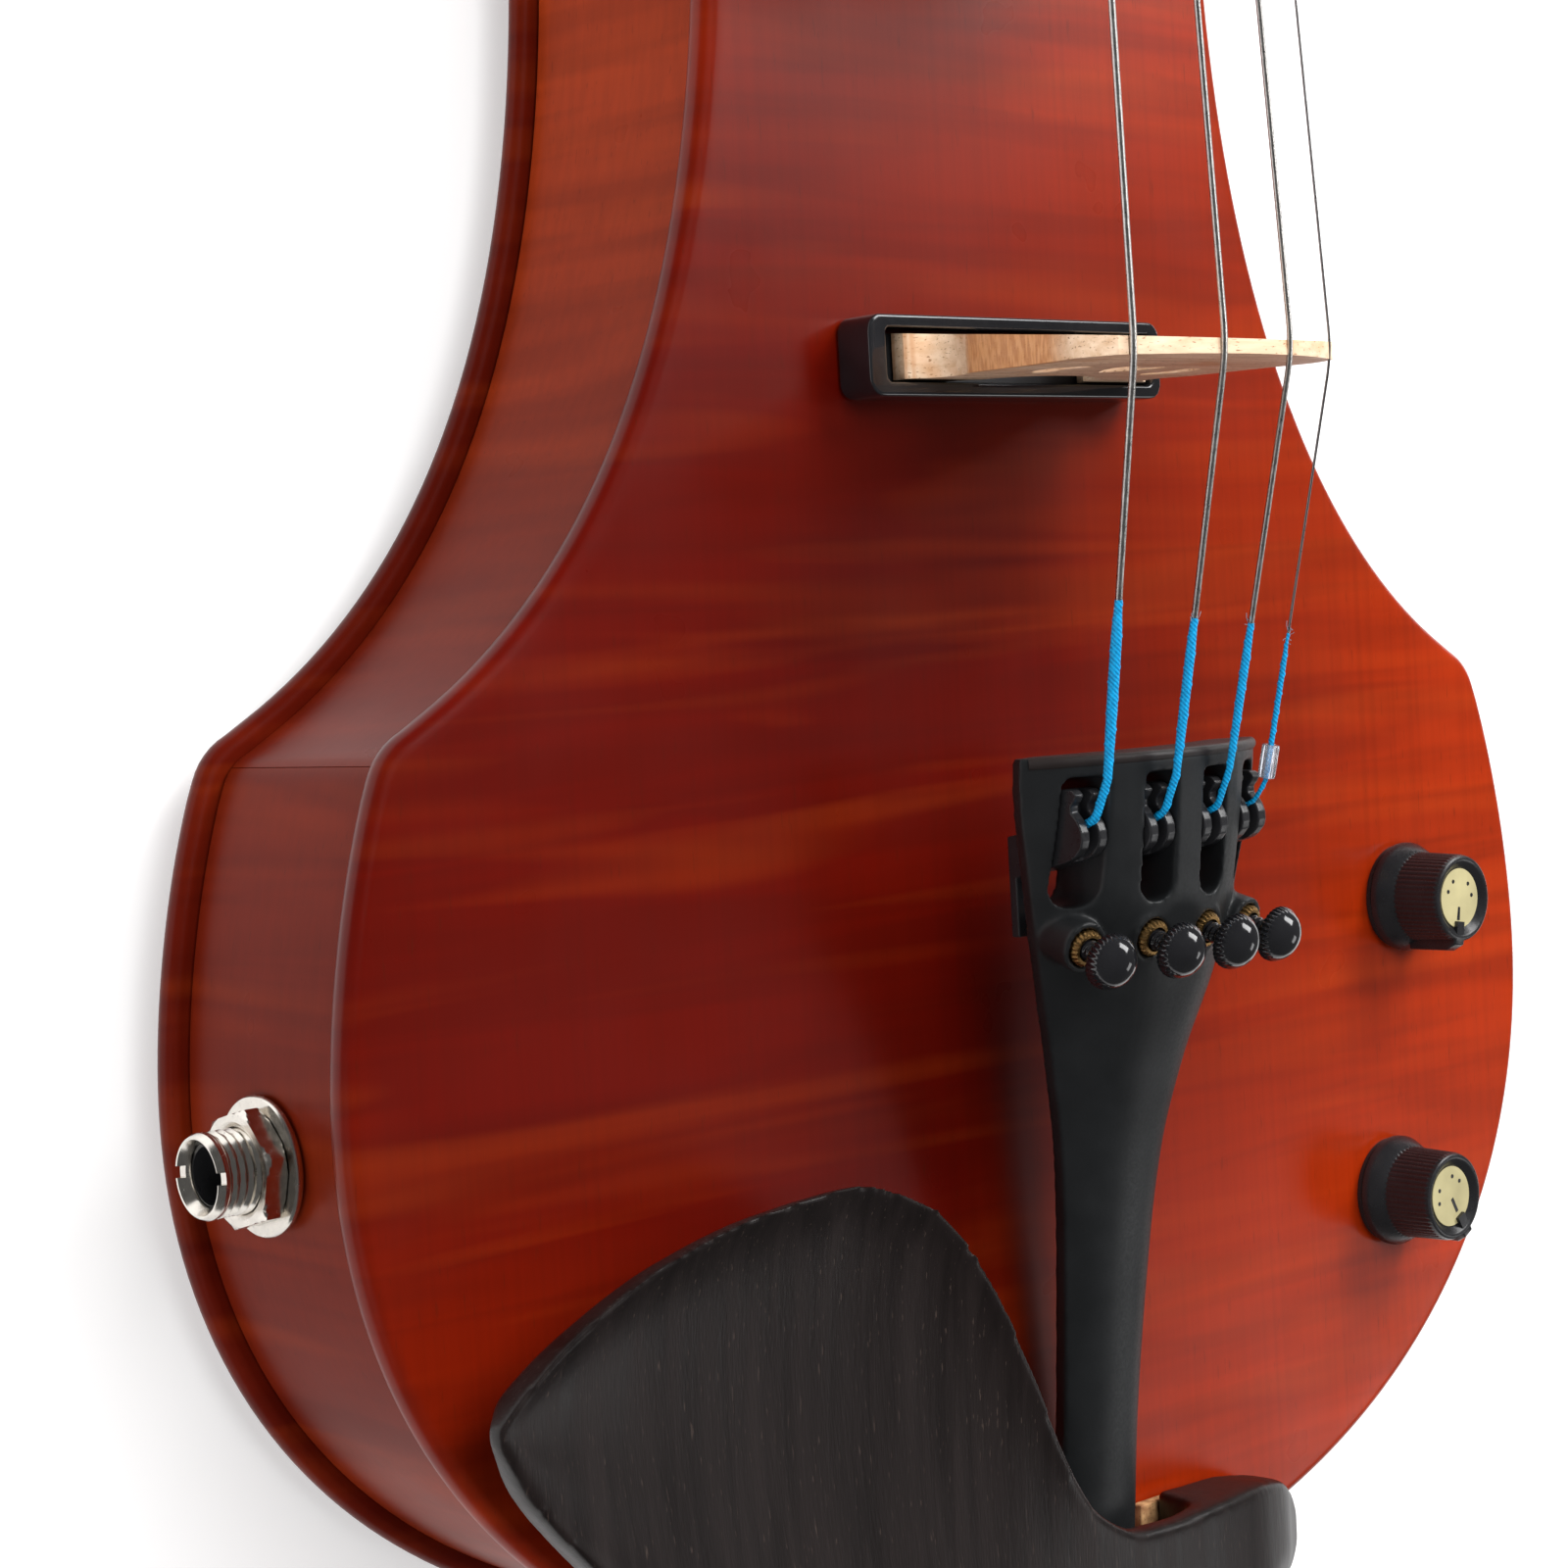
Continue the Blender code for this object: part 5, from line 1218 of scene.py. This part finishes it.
def make_sleeve():
    bend = string_anchor("e")[-1]
    away = (string_crown("e") - bend).normalized()
    profile = [(0.46, 0.1), (0.56, 0), (0.95, 0), (1.05, 0.12)]
    profile += [(1.05, 3.88), (0.95, 4), (0.56, 4), (0.46, 3.9)]
    mesh = turned_mesh(in_mm(profile), bend + away * 0.3 * MM, away, 48, ring_shaped=True)
    add("string_sleeve_e_clear", mesh, CLEAR, replaces=["string_sleeve_e"])


# ---------------------------------------------------------------- tailpiece and fine tuners

# Along the tailpiece, in mm: y, half width, the side edges' height over the top plate, the rise over them
# of the bed that the tuners are set out from, the bed's depth to the underside, and the crown over the edges.
TAIL_STATIONS = (
    (-45, 20.5, 20.1, 4.0, 4.6, 7.8),
    (-47, 20.5, 19.9, 4.2, 5.0, 8.2),
    (-60, 18.3, 18.4, 4.4, 5.0, 8.2),
    (-72, 15.1, 16.4, 4.4, 4.6, 7.4),
    (-83, 11.4, 14.0, 3.6, 4.4, 5.6),
    (-94, 8.8, 12.2, 2.8, 4.2, 4.0),
    (-106, 7.6, 10.6, 2.4, 4.0, 3.2),
    (-130, 6.6, 7.8, 2.0, 3.8, 2.4),
    (-143, 6.8, 6.4, 1.8, 3.6, 2.0),
    (-147, 6.0, 6.0, 1.4, 3.2, 1.4),
)
TAIL_COLUMNS = [sorted((row[0] * MM, row[column] * MM) for row in TAIL_STATIONS) for column in range(1, 6)]
BOSS_RADIUS = 3.1 * MM
BOSS_HEIGHTS = {"g": 4.2 * MM, "d": 3.3 * MM, "a": 3.3 * MM, "e": 4.2 * MM}  # over the bed
BOSS_ROOT = 3 * MM  # a boss starts this far under the bed
INSERT_BORE = 2.3 * MM
SLOT_HALF_WIDTH = 2.45 * MM
SLOT_LOW_Y, SLOT_HIGH_Y = -60.2 * MM, -47.45 * MM  # SLOT_LOW_Y is the centre of the round end
SIDE_THICKNESS = 1.9 * MM
FRET_Y = -45.7 * MM
GUT_X = 3.1 * MM


def tail_bed(x, y):
    """Height of the bed that the tuners are set out from."""
    width, side, rise, *_ = (reading(column, y) for column in TAIL_COLUMNS)
    return TOP_Z + side + rise * (1 - min(1, abs(x) / width) ** 2)


def tail_face(x, y):
    """Height of the tailpiece's upper face."""
    width, side, _, _, crown = (reading(column, y) for column in TAIL_COLUMNS)
    return TOP_Z + side + crown * (1 - min(1, abs(x) / width) ** 2.4)


def screw_axis(string):
    """The point where a tuner's screw passes the bed, and its direction."""
    x = string_x(string, SPACING_TAIL) * 0.97
    foot = Vector((x, TUNER_SCREW_Y, tail_bed(x, TUNER_SCREW_Y)))
    fan = math.tan(math.radians(TUNER_SCREW_FANS[string]))
    return foot, Vector((fan, -math.tan(TUNER_SCREW_TILT), 1)).normalized()


def tailpiece_body():
    rows = []
    low_y, high_y = TAIL_STATIONS[-1][0] * MM, TAIL_STATIONS[0][0] * MM
    for j in range(73):
        y = blend(low_y, high_y, j / 72)
        width = reading(TAIL_COLUMNS[0], y)
        thick = reading(TAIL_COLUMNS[3], y)
        row = []
        for k in range(33):
            x = -width * math.cos(math.pi * k / 32)
            thickness = blend(thick, SIDE_THICKNESS, smoothstep(abs(x) / width * 4 - 3))
            row.append(((x * 0.97, y, tail_bed(x, y) - thickness), (x, y, tail_face(x, y))))
        rows.append(row)
    return sheet_mesh(rows)


def make_tailpiece():
    bosses, holes = [], []
    for string in STRINGS:
        foot, away = screw_axis(string)
        profile = [(BOSS_RADIUS, 0), (BOSS_RADIUS, BOSS_HEIGHTS[string] + BOSS_ROOT)]
        bosses.append(turned_mesh(profile, foot - away * BOSS_ROOT, away, 48))
        holes.append(cylinder_mesh(foot - away * 9 * MM, foot + away * 9 * MM, INSERT_BORE))
        x = string_x(string, SPACING_TAIL)
        span_x = (x - SLOT_HALF_WIDTH, x + SLOT_HALF_WIDTH)
        slot = rounded_rectangle(span_x, (SLOT_LOW_Y - 0.4 * MM, SLOT_HIGH_Y), 1.0 * MM)
        low, high = (Vector((x, SLOT_LOW_Y, TOP_Z + z * MM)) for z in (8, 32))
        holes.append(plate_mesh(slot, low.z, high.z))
        holes.append(cylinder_mesh(low, high, SLOT_HALF_WIDTH))
    gut_z = [TOP_Z + reading(TAIL_COLUMNS[1], y) + 0.6 * reading(TAIL_COLUMNS[2], y)
             - 0.5 * reading(TAIL_COLUMNS[3], y) for y in (-134 * MM, -147 * MM)]
    for x in (-GUT_X, GUT_X):
        holes.append(cylinder_mesh((x, -134 * MM, gut_z[0]), (x, -150 * MM, gut_z[1]), 1.25 * MM))
    tail = softened(cut(joined(tailpiece_body(), bosses), *holes), 0.3 * MM, 5)
    add("tailpiece_moulded", tail, COMPOSITE, replaces=["tailpiece"], sharp=60)
    lip = []
    width = reading(TAIL_COLUMNS[0], FRET_Y) - 1.0 * MM
    for k in range(49):
        x = blend(-width, width, k / 48)
        lip.append((x, FRET_Y, tail_face(x, FRET_Y) - 0.55 * MM))
    add("tailpiece_fret", tube_mesh(lip, 0.75 * MM, 5), FRET, sharp=60)


SCREW_PITCH = 0.7 * MM
SCREW_SHOWING = 3.3 * MM  # between a boss and its screw's head


def make_tuners():
    for string in STRINGS:
        foot, away = screw_axis(string)
        make_tuner_insert(string, foot, away)
        make_tuner_screw(string, foot, away)
        make_lever(string, foot, away)


def make_tuner_insert(string, foot, away):
    """A threaded brass tube with a serrated rim."""
    low, high = -4.4 * MM, BOSS_HEIGHTS[string] + 0.7 * MM
    bore = rod_profile(1.5 * MM, low, high, 0.1 * MM)
    groove = thread(SCREW_PITCH, 0.16 * MM, low + 0.2 * MM, high - 0.2 * MM)
    ring = [(1.95 * MM, low), (2.2 * MM, low + 0.25 * MM)]
    ring += [(2.2 * MM, high - 0.4 * MM), (1.9 * MM, high)]

    def shape(radius, height, turn):
        if radius < 1.8 * MM:
            return groove(radius, height, turn)
        return radius - 0.16 * MM * (0.5 - 0.5 * math.cos(22 * turn))

    insert = turned_mesh([*ring, *reversed(bore)], foot, away, 176, ring_shaped=True, shape=shape)
    name = f"tuner_insert_{string}"
    add(f"{name}_threaded", insert, BRASS, replaces=[name], sharp=50)


def make_tuner_screw(string, foot, away):
    """A domed head with a knurled rim on a threaded shaft."""
    base = BOSS_HEIGHTS[string] + SCREW_SHOWING
    low = -SCREW_REACH
    shaft = [(0.9 * MM, low), *rod_profile(1.25 * MM, low + 0.35 * MM, base, 0.09 * MM)]
    dome = [(2.0, 0.1), (2.7, 0.22), (3.2, 0.45), (3.38, 0.75), (3.4, 1.1), (3.36, 1.5), (3.22, 1.85)]
    dome += [(2.95, 2.3), (2.6, 2.8), (2.15, 3.2), (1.6, 3.52), (1.0, 3.76), (0.4, 3.87), (0.05, 3.9)]
    profile = shaft + [(r * MM, base + h * MM) for r, h in dome]
    groove = thread(SCREW_PITCH, 0.2 * MM, low + 0.3 * MM, base - 0.1 * MM)

    def shape(radius, height, turn):
        if height < base:
            return groove(radius, height, turn)
        rim = max(0.0, 1 - abs((height - base) / MM - 1.0) / 0.9)
        return radius - 0.24 * MM * min(1, rim * 1.8) * (0.5 - 0.5 * math.cos(34 * turn))

    mesh = turned_mesh(profile, foot, away, 272, shape=shape)
    name = f"tuner_screw_{string}"
    add(f"{name}_knurled", mesh, GLOSS_BLACK, name, [name], 55)


LEVER_HALF_WIDTH = 2.15 * MM
FORK_SLIT = 1.5 * MM
ARM_HALF_WIDTH = 1.1 * MM
ARM_THICKNESS = 1.3 * MM


def make_lever(string, foot, away):
    """A bent lever: a fork above the slot, a pivot in it and an arm under the screw's tip."""
    x = string_x(string, SPACING_TAIL)
    top = tail_bed(x, TUNER_PIVOT_Y)
    tip = foot - away * SCREW_REACH
    pivot_z = top - 3.2 * MM
    fork = [(7.2, 0.4), (7.25, 1.8), (7.1, 3.0), (6.5, 3.6), (5.9, 3.2), (5.3, 2.65), (4.6, 2.6)]
    fork += [(4.0, 3.2), (3.2, 3.8), (2.3, 4.15), (1.3, 4.2), (0.4, 3.9), (-0.4, 3.1), (-0.9, 2.3)]
    fork += [(-1.2, 1.4)]
    side = [(TUNER_PIVOT_Y + y * MM, top + z * MM) for y, z in fork]
    arm_top = tip.z - 0.5 * MM
    side += [
        (TUNER_PIVOT_Y - 2.4 * MM, pivot_z),
        (TUNER_PIVOT_Y - 3.2 * MM, arm_top),
        (tip.y - 1.8 * MM, arm_top),
        (tip.y - 1.8 * MM, arm_top - ARM_THICKNESS),
        (TUNER_PIVOT_Y + 1.6 * MM, arm_top - ARM_THICKNESS),
        (TUNER_PIVOT_Y + 2.6 * MM, pivot_z),
    ]
    mesh = plate_mesh(side, x - LEVER_HALF_WIDTH, x + LEVER_HALF_WIDTH)
    for vert in mesh.vertices:
        vert.co = (vert.co.z, vert.co.x, vert.co.y)
    low = (x - FORK_SLIT / 2, TUNER_PIVOT_Y - 4 * MM, top + 1.2 * MM)
    mesh = cut(mesh, box_mesh(low, (x + FORK_SLIT / 2, TUNER_PIVOT_Y + 9 * MM, top + 8 * MM)))
    for sign in (-1, 1):
        inner, outer = sorted((x + sign * ARM_HALF_WIDTH, x + sign * 5 * MM))
        low = (inner, tip.y - 4 * MM, arm_top - 4 * MM)
        mesh = cut(mesh, box_mesh(low, (outer, TUNER_PIVOT_Y + 9 * MM, pivot_z - 1.2 * MM)))
    mesh = softened(mesh, 0.13 * MM, 5)
    name = f"tuner_lever_{string}"
    add(f"{name}_satin", mesh, SATIN_BLACK, name, [name], 60)
    pivot = Vector((x, TUNER_PIVOT_Y, pivot_z))
    pin = [(0.5, -3.5), (0.72, -3.3), (0.72, 3.3), (0.5, 3.5)]
    mesh = turned_mesh(in_mm(pin), pivot, (1, 0, 0), 24)
    add(f"tuner_pivot_{string}", mesh, STEEL)


# ---------------------------------------------------------------- tail end


def make_tail_hardware():
    low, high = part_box("saddle")
    saddle = bevelled(box_mesh(low, high), 0.9 * MM, 5)
    add("saddle_ebony", saddle, EBONY, replaces=["saddle"])
    face = BODY_BOTTOM_Y + EDGE_OVERHANG
    profile = [(0.1, 0), (2.9, 0.05), (3.2, 0.4), (3.4, 15.9), (5.6, 16.2), (6.9, 16.9), (7.2, 17.8)]
    profile += [(6.9, 18.6), (5.9, 19.2), (5.3, 20.0), (5.3, 20.8), (6.2, 21.6), (7.4, 22.5), (7.8, 23.6)]
    profile += [(7.6, 24.8), (6.6, 26.0), (5.0, 26.9), (3.0, 27.4), (0.1, 27.6)]
    button = turned_mesh(in_mm(profile), (0, face + 16 * MM, JACK_Z), (0, -1, 0), 72)
    add("end_button_turned", button, EBONY, replaces=["end_button"], sharp=60)
    make_tailgut()


def make_tailgut():
    """The cord from one side of the tailpiece over the saddle, round the end button and back."""
    gut_z = TOP_Z + reading(TAIL_COLUMNS[1], -147 * MM) + 0.6 * 1.4 * MM - 1.6 * MM
    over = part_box("saddle")[1].z + 1.3 * MM
    edge = BODY_BOTTOM_Y - 1.7 * MM
    button_y = BODY_BOTTOM_Y + EDGE_OVERHANG - 4.2 * MM
    right = [
        (GUT_X, -146.4 * MM, gut_z),
        (GUT_X, BODY_BOTTOM_Y + 4 * MM, over),
        (3.2 * MM, BODY_BOTTOM_Y + 1.2 * MM, over - 0.1 * MM),
        (3.6 * MM, edge, TOP_Z - 1.5 * MM),
        (4.6 * MM, edge - 0.4 * MM, TOP_Z - 8 * MM),
    ]
    radius = 6.8 * MM
    loop = []
    for k in range(25):
        turn = math.radians(20 - 220 * k / 24)
        loop.append((radius * math.cos(turn), button_y, JACK_Z + radius * math.sin(turn)))
    left = [(-x, y, z) for x, y, z in reversed(right)]
    mesh = tube_mesh(smooth_path([*right, *loop, *left], 5, 1.5 * MM), 0.97 * MM, 5)
    add("tailgut_cord", mesh, CORD, replaces=["tailgut"], sharp=60)


# ---------------------------------------------------------------- controls and jack


FLUTES, FLUTE_DEPTH = 54, 0.16 * MM
DIAL_DROP = 0.64 * MM  # the dial's face under the knob's rim


def knob_mesh(place, low, out, across):
    """A skirt, a fluted grip with a recess in its top, and a pointer fin."""
    top = KNOB_TOP_Z
    # Radius in mm, height, and whether the ring is fluted
    rows = [
        (3.3, low + 3 * MM, 0), (3.3, low, 0), (7.2, low, 0), (7.5, low + 0.3 * MM, 0),
        (7.5, low + 1.0 * MM, 0), (7.3, low + 1.4 * MM, 0), (6.5, low + 2.9 * MM, 0),
        (6.2, low + 3.2 * MM, 0), (6.2, low + 3.3 * MM, 1), (6.0, top - 0.75 * MM, 1),
        (5.9, top - 0.55 * MM, 0), (5.75, top - 0.15 * MM, 0), (5.5, top, 0), (5.2, top, 0),
        (4.95, top - 0.15 * MM, 0), (4.15, top - 0.8 * MM, 0), (0.05, top - 0.8 * MM, 0),
    ]
    fluted = {round(height / MM, 4): flute for _, height, flute in rows}

    def shape(radius, height, turn):
        if not fluted[round(height / MM, 4)]:
            return radius
        return radius - FLUTE_DEPTH * (0.5 - 0.5 * math.cos(FLUTES * turn))

    knob = turned_mesh([(r * MM, h) for r, h, _ in rows], place, (0, 0, 1), FLUTES * 8, shape=shape)
    fin_side = [(4.9, low + 2.4 * MM), (7.3, low + 2.4 * MM), (7.2, top - 1.6 * MM)]
    fin_side += [(6.3, top - 0.1 * MM), (4.9, top - 0.1 * MM)]
    fin = loft_mesh([[place + out * r * MM + across * w * MM + Vector((0, 0, h)) for r, h in fin_side]
                     for w in (-1.0, 1.0)])
    return joined(knob, [bevelled(fin, 0.25 * MM, 3)])


def bar_mesh(place, out, across, ends, low, high):
    """A flat bar along out. ends are pairs of a distance and a half width, in mm."""
    corners = ((-1, low), (1, low), (1, high), (-1, high))
    return loft_mesh([
        [place + out * r * MM + across * s * w * MM + Vector((0, 0, h)) for s, h in corners]
        for r, w in ends
    ])


def dial_marks(name, place, turn, out, across):
    """A pointer bar, a notch to the fin and four dots."""
    face = KNOB_TOP_Z - DIAL_DROP
    raised = face + 0.06 * MM
    mark = [(1.2, 0.22), (3.0, 0.30)] if name == "volume" else [(0.4, 0.26), (2.6, 0.26)]
    marks = [bar_mesh(place, out, across, mark, face, raised)]
    marks.append(bar_mesh(place, out, across, [(3.2, 0.75), (5.0, 0.75)], face, KNOB_TOP_Z - 0.1 * MM))
    for step in (-2, -1, 1, 2):
        away = turn + math.pi + math.radians(step * 38)
        dot = place + Vector((math.cos(away), math.sin(away), 0)) * 2.7 * MM + Vector((0, 0, face))
        marks.append(turned_mesh([(0.30 * MM, 0), (0.27 * MM, 0.06 * MM)], dot, (0, 0, 1), 20))
    return merged(marks)


def make_controls():
    """Each knob with its pale dial, the dial's marks, and a felt washer under it."""
    for name, fin_turn in (("volume", -100), ("tone", -62)):
        place = centre_of(f"{name}_shaft")
        place = Vector((place.x, place.y, 0))
        body = f"{name}_control"
        turn = math.radians(fin_turn)
        out = Vector((math.cos(turn), math.sin(turn), 0))
        across = Vector((-out.y, out.x, 0))
        knob = knob_mesh(place, TOP_Z + 0.8 * MM, out, across)
        add(f"{name}_knob_fluted", knob, KNOB_BLACK, body, [f"{name}_knob"], 35)
        disc = [(0.05, -0.85), (4.05, -0.85), (4.1, -0.7), (4.05, -0.62), (0.05, -0.62)]
        mesh = turned_mesh(in_mm(disc), place + Vector((0, 0, KNOB_TOP_Z)), (0, 0, 1), 96)
        add(f"{name}_dial", mesh, CREAM, body)
        marks = dial_marks(name, place, turn, out, across)
        add(f"{name}_dial_marks", marks, KNOB_BLACK, body)
        felt = [(3.6, 0.02), (7.1, 0.02), (7.15, 0.3), (7.0, 0.62), (3.6, 0.62)]
        foot = place + Vector((0, 0, TOP_Z))
        mesh = turned_mesh(in_mm(felt), foot, (0, 0, 1), 96, ring_shaped=True)
        add(f"{name}_washer", mesh, SATIN_BLACK)


NUT_TURN = math.radians(15)
NUT_FLAT = 6.9 * MM * math.cos(math.radians(30))  # from the axis to a flat
NUT_LOW, NUT_HIGH = 1.0, 3.6  # its faces' distances from the rib, in mm


def hexagon(radius, height, turn):
    """The hexagon nut's outline, chamfered at both faces."""
    if radius < 5.4 * MM:
        return radius
    sector = (turn + NUT_TURN) % math.radians(60) - math.radians(30)
    side = NUT_FLAT / math.cos(sector)
    chamfer = radius + max(0.0, NUT_HIGH * MM - height) * 1.6
    foot = radius + max(0.0, height - NUT_LOW * MM) * 1.6
    return min(side, chamfer, foot)


def make_jack():
    """The output socket: a threaded barrel with a slotted mouth, a hexagon nut and a washer."""
    start = Vector((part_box("jack_washer")[1].x, JACK_Y, JACK_Z))
    out = Vector((-1, 0, 0))
    washer = [(4.9, 0.02), (7.6, 0.02), (7.7, 0.15), (7.7, 0.72), (7.55, 0.9), (4.9, 0.9)]
    mesh = turned_mesh(in_mm(washer), start, out, 96, ring_shaped=True)
    add("jack_washer_plated", mesh, NICKEL, replaces=["jack_washer"])

    steps = [blend(NUT_LOW, NUT_HIGH, k / 12) for k in range(13)]
    nut = [(4.75, NUT_LOW)] + [(6.15, h) for h in steps] + [(5.3, NUT_HIGH), (4.75, 3.3)]
    mesh = turned_mesh(in_mm(nut), start, out, 144, ring_shaped=True, shape=hexagon)
    add("jack_nut_plated", mesh, NICKEL, replaces=["jack_nut"], sharp=28)

    barrel = in_mm([(8.0, -24), (8.0, -4.2)]) + rod_profile(4.7 * MM, -4.2 * MM, 7.7 * MM, 0.1 * MM)
    barrel += in_mm([(4.55, 7.9), (4.45, 8.25), (4.3, 8.4), (4.1, 8.36), (3.45, 7.3), (3.4, 7.0), (3.4, -24)])
    groove = thread(1.0 * MM, 0.30 * MM, 1.2 * MM, 7.55 * MM)
    mesh = turned_mesh(barrel, start, out, 96, ring_shaped=True, shape=groove)
    low, high = Vector((-8.6, -0.4, -5.2)) * MM, Vector((-7.6, 0.9, 5.2)) * MM
    mesh = cut(mesh, box_mesh(start + low, start + high))
    add("jack_socket_threaded", mesh, NICKEL, replaces=["jack_socket"], sharp=40)
    plug = turned_mesh(in_mm([(3.35, -23), (3.35, -12)]), start, out, 48)
    add("jack_contact_block", plug, SATIN_BLACK)
    liner = [(3.18, -12), (3.38, -12), (3.38, 6.9), (3.18, 6.9)]
    mesh = turned_mesh(in_mm(liner), start, out, 64, ring_shaped=True)
    add("jack_liner", mesh, SATIN_BLACK)


# ---------------------------------------------------------------- chinrest and its clamp

# Across the chinrest, in mm: x, scroll-side y, tail-side y, and heights of rim, dish and foot over the top.
CHIN_STATIONS = (
    (-94.0, -108.0, -109.5, 14.0, 13.6, 11.5),
    (-90.0, -104.4, -116.5, 15.0, 13.0, 8.5),
    (-84.0, -100.2, -124.0, 15.8, 12.2, 7.0),
    (-72.0, -94.4, -136.5, 17.2, 11.2, 5.0),
    (-59.0, -91.2, -148.5, 18.2, 11.0, 4.2),
    (-46.0, -90.2, -157.0, 18.6, 11.4, 4.0),
    (-35.0, -94.0, -162.0, 18.6, 12.2, 4.0),
    (-27.0, -102.0, -164.4, 18.0, 13.0, 4.0),
    (-19.0, -116.0, -166.0, 17.0, 13.8, 6.5),
    (-13.0, -128.5, -166.8, 15.8, 14.0, 10.2),
    (-7.0, -136.5, -167.2, 14.6, 14.0, 10.4),
    (1.0, -140.4, -167.4, 14.0, 13.8, 10.2),
    (9.0, -140.8, -167.0, 13.6, 13.6, 10.0),
    (13.5, -140.6, -166.4, 13.2, 13.2, 9.4),
    (15.5, -140.6, -166.0, 13.0, 13.0, 2.3),
    (24.0, -140.8, -164.0, 11.4, 11.6, 2.3),
    (33.0, -142.4, -157.6, 8.2, 8.4, 2.3),
    (38.5, -145.6, -156.4, 5.4, 5.4, 2.3),
    (41.3, -149.0, -153.6, 4.0, 3.6, 2.3),
)
CHIN_COLUMNS = [[(row[0], row[column]) for row in CHIN_STATIONS] for column in range(1, 6)]
CHIN_LEG_X = 15  # the leg stands on its cork pad from here to the end of the arm, in mm
CLAMP_SEAT_Y = -157.4  # the clamp bears on the underside outside this line, in mm
CLAMP_SEAT_HEIGHT = 6.8


def chin_section(x, scroll, tail, rim, dish, foot):
    """A ring across the chinrest: the dished top from the scroll side, then the undercut underside back."""
    points = []
    slope = min(2.5, (rim - foot) * 0.35)
    count = 40
    for k in range(count + 1):
        part = k / count
        y = blend(scroll, tail, 0.5 - 0.5 * math.cos(math.pi * part))
        shallow = math.sin(math.pi * min(1, part * 1.15)) ** 0.8
        edge = min(1.6, (rim - foot) * 0.4) * max(0, 1 - 8 * min(part, 1 - part)) ** 2
        points.append((y, blend(rim, dish, shallow) - slope * smoothstep((part - 0.55) / 0.45) - edge))
    outside = tail < CLAMP_SEAT_Y - 1
    raised = max(foot, CLAMP_SEAT_HEIGHT) if outside else foot
    step = CLAMP_SEAT_Y if outside else blend(tail, scroll, 0.3)
    edge_low = foot if x > CHIN_LEG_X else max(foot, rim - 5)
    points += [(blend(tail, step, 0.15), raised), (step, raised), (step + 0.8, foot)]
    points += [(blend(step, scroll, part), foot) for part in (0.5, 0.8)]
    points.append((blend(step, scroll, 0.985), edge_low))
    return [(px * MM, py * MM, TOP_Z + pz * MM) for px, (py, pz) in ((x, point) for point in points)]


def make_chinrest():
    """The chinrest, carved from one piece and worn soft, on its cork pad."""
    sections = []
    for (x0, *_), (x1, *_) in zip(CHIN_STATIONS, CHIN_STATIONS[1:]):
        steps = max(2, round((x1 - x0) / 1.5))
        for k in range(steps):
            x = blend(x0, x1, k / steps)
            sections.append(chin_section(x, *(reading(column, x) for column in CHIN_COLUMNS)))
    sections.append(chin_section(*CHIN_STATIONS[-1]))
    mesh = softened(loft_mesh(sections), 0.45 * MM, 14)
    add("chinrest_ebony", mesh, EBONY, replaces=["chinrest"], sharp=60)
    pad = [(12.8, -142.2), (12.8, -150.2), (25, -149), (36, -147.4), (34, -144.4), (24, -142.2)]
    low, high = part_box("chinrest_cork")
    mesh = bevelled(plate_mesh(in_mm(pad), low.z, high.z), 0.25 * MM, 3)
    add("chinrest_cork_pad", mesh, CORK, replaces=["chinrest_cork"])


def make_clamp():
    """The clamp's plate and hook, and two knurled barrels with a key hole each."""
    for node_name in ("chinrest_bracket", "chinrest_hook"):
        body = "chinrest_hook" if node_name == "chinrest_hook" else "violin"
        mesh = softened(copy_of(node_name), 0.3 * MM, 4)
        add(f"{node_name}_plated", mesh, NICKEL, body, [node_name], 60)
    for side in ("bass", "treble"):
        name = f"chinrest_barrel_{side}"
        low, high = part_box(name)
        place = (low + high) / 2
        reach = high.z - low.z
        bore, wall, chamfer = 2.2 * MM, 3.1 * MM, 0.3 * MM
        rings = [(bore, chamfer), (bore + chamfer, 0), (wall - chamfer, 0), (wall, chamfer)]
        rings += [(wall, reach * k / 24) for k in range(1, 24)]
        rings += [(wall, reach - chamfer), (wall - chamfer, reach)]
        rings += [(bore + chamfer, reach), (bore, reach - chamfer)]

        def grip(radius, height, turn, reach=reach, wall=wall):
            middle = abs(height / reach - 0.5)
            if radius < wall or middle > 0.36:
                return radius
            return radius - 0.14 * MM * (0.5 - 0.5 * math.cos(24 * turn))

        mesh = turned_mesh(rings, (place.x, place.y, low.z), (0, 0, 1), 120, ring_shaped=True, shape=grip)
        across = Vector((5 * MM, 0, 0))
        key_hole = cylinder_mesh(place - across, place + across, 0.9 * MM)
        add(f"{name}_knurled", cut(mesh, key_hole), NICKEL, name, [name], 45)


make_fingerboard()
make_nut()
make_neck()
make_pegs()
make_bridge()
make_bridge_frame()
make_tailpiece()
make_tuners()
make_strings()
make_sleeve()
make_tail_hardware()
make_controls()
make_jack()
make_chinrest()
make_clamp()
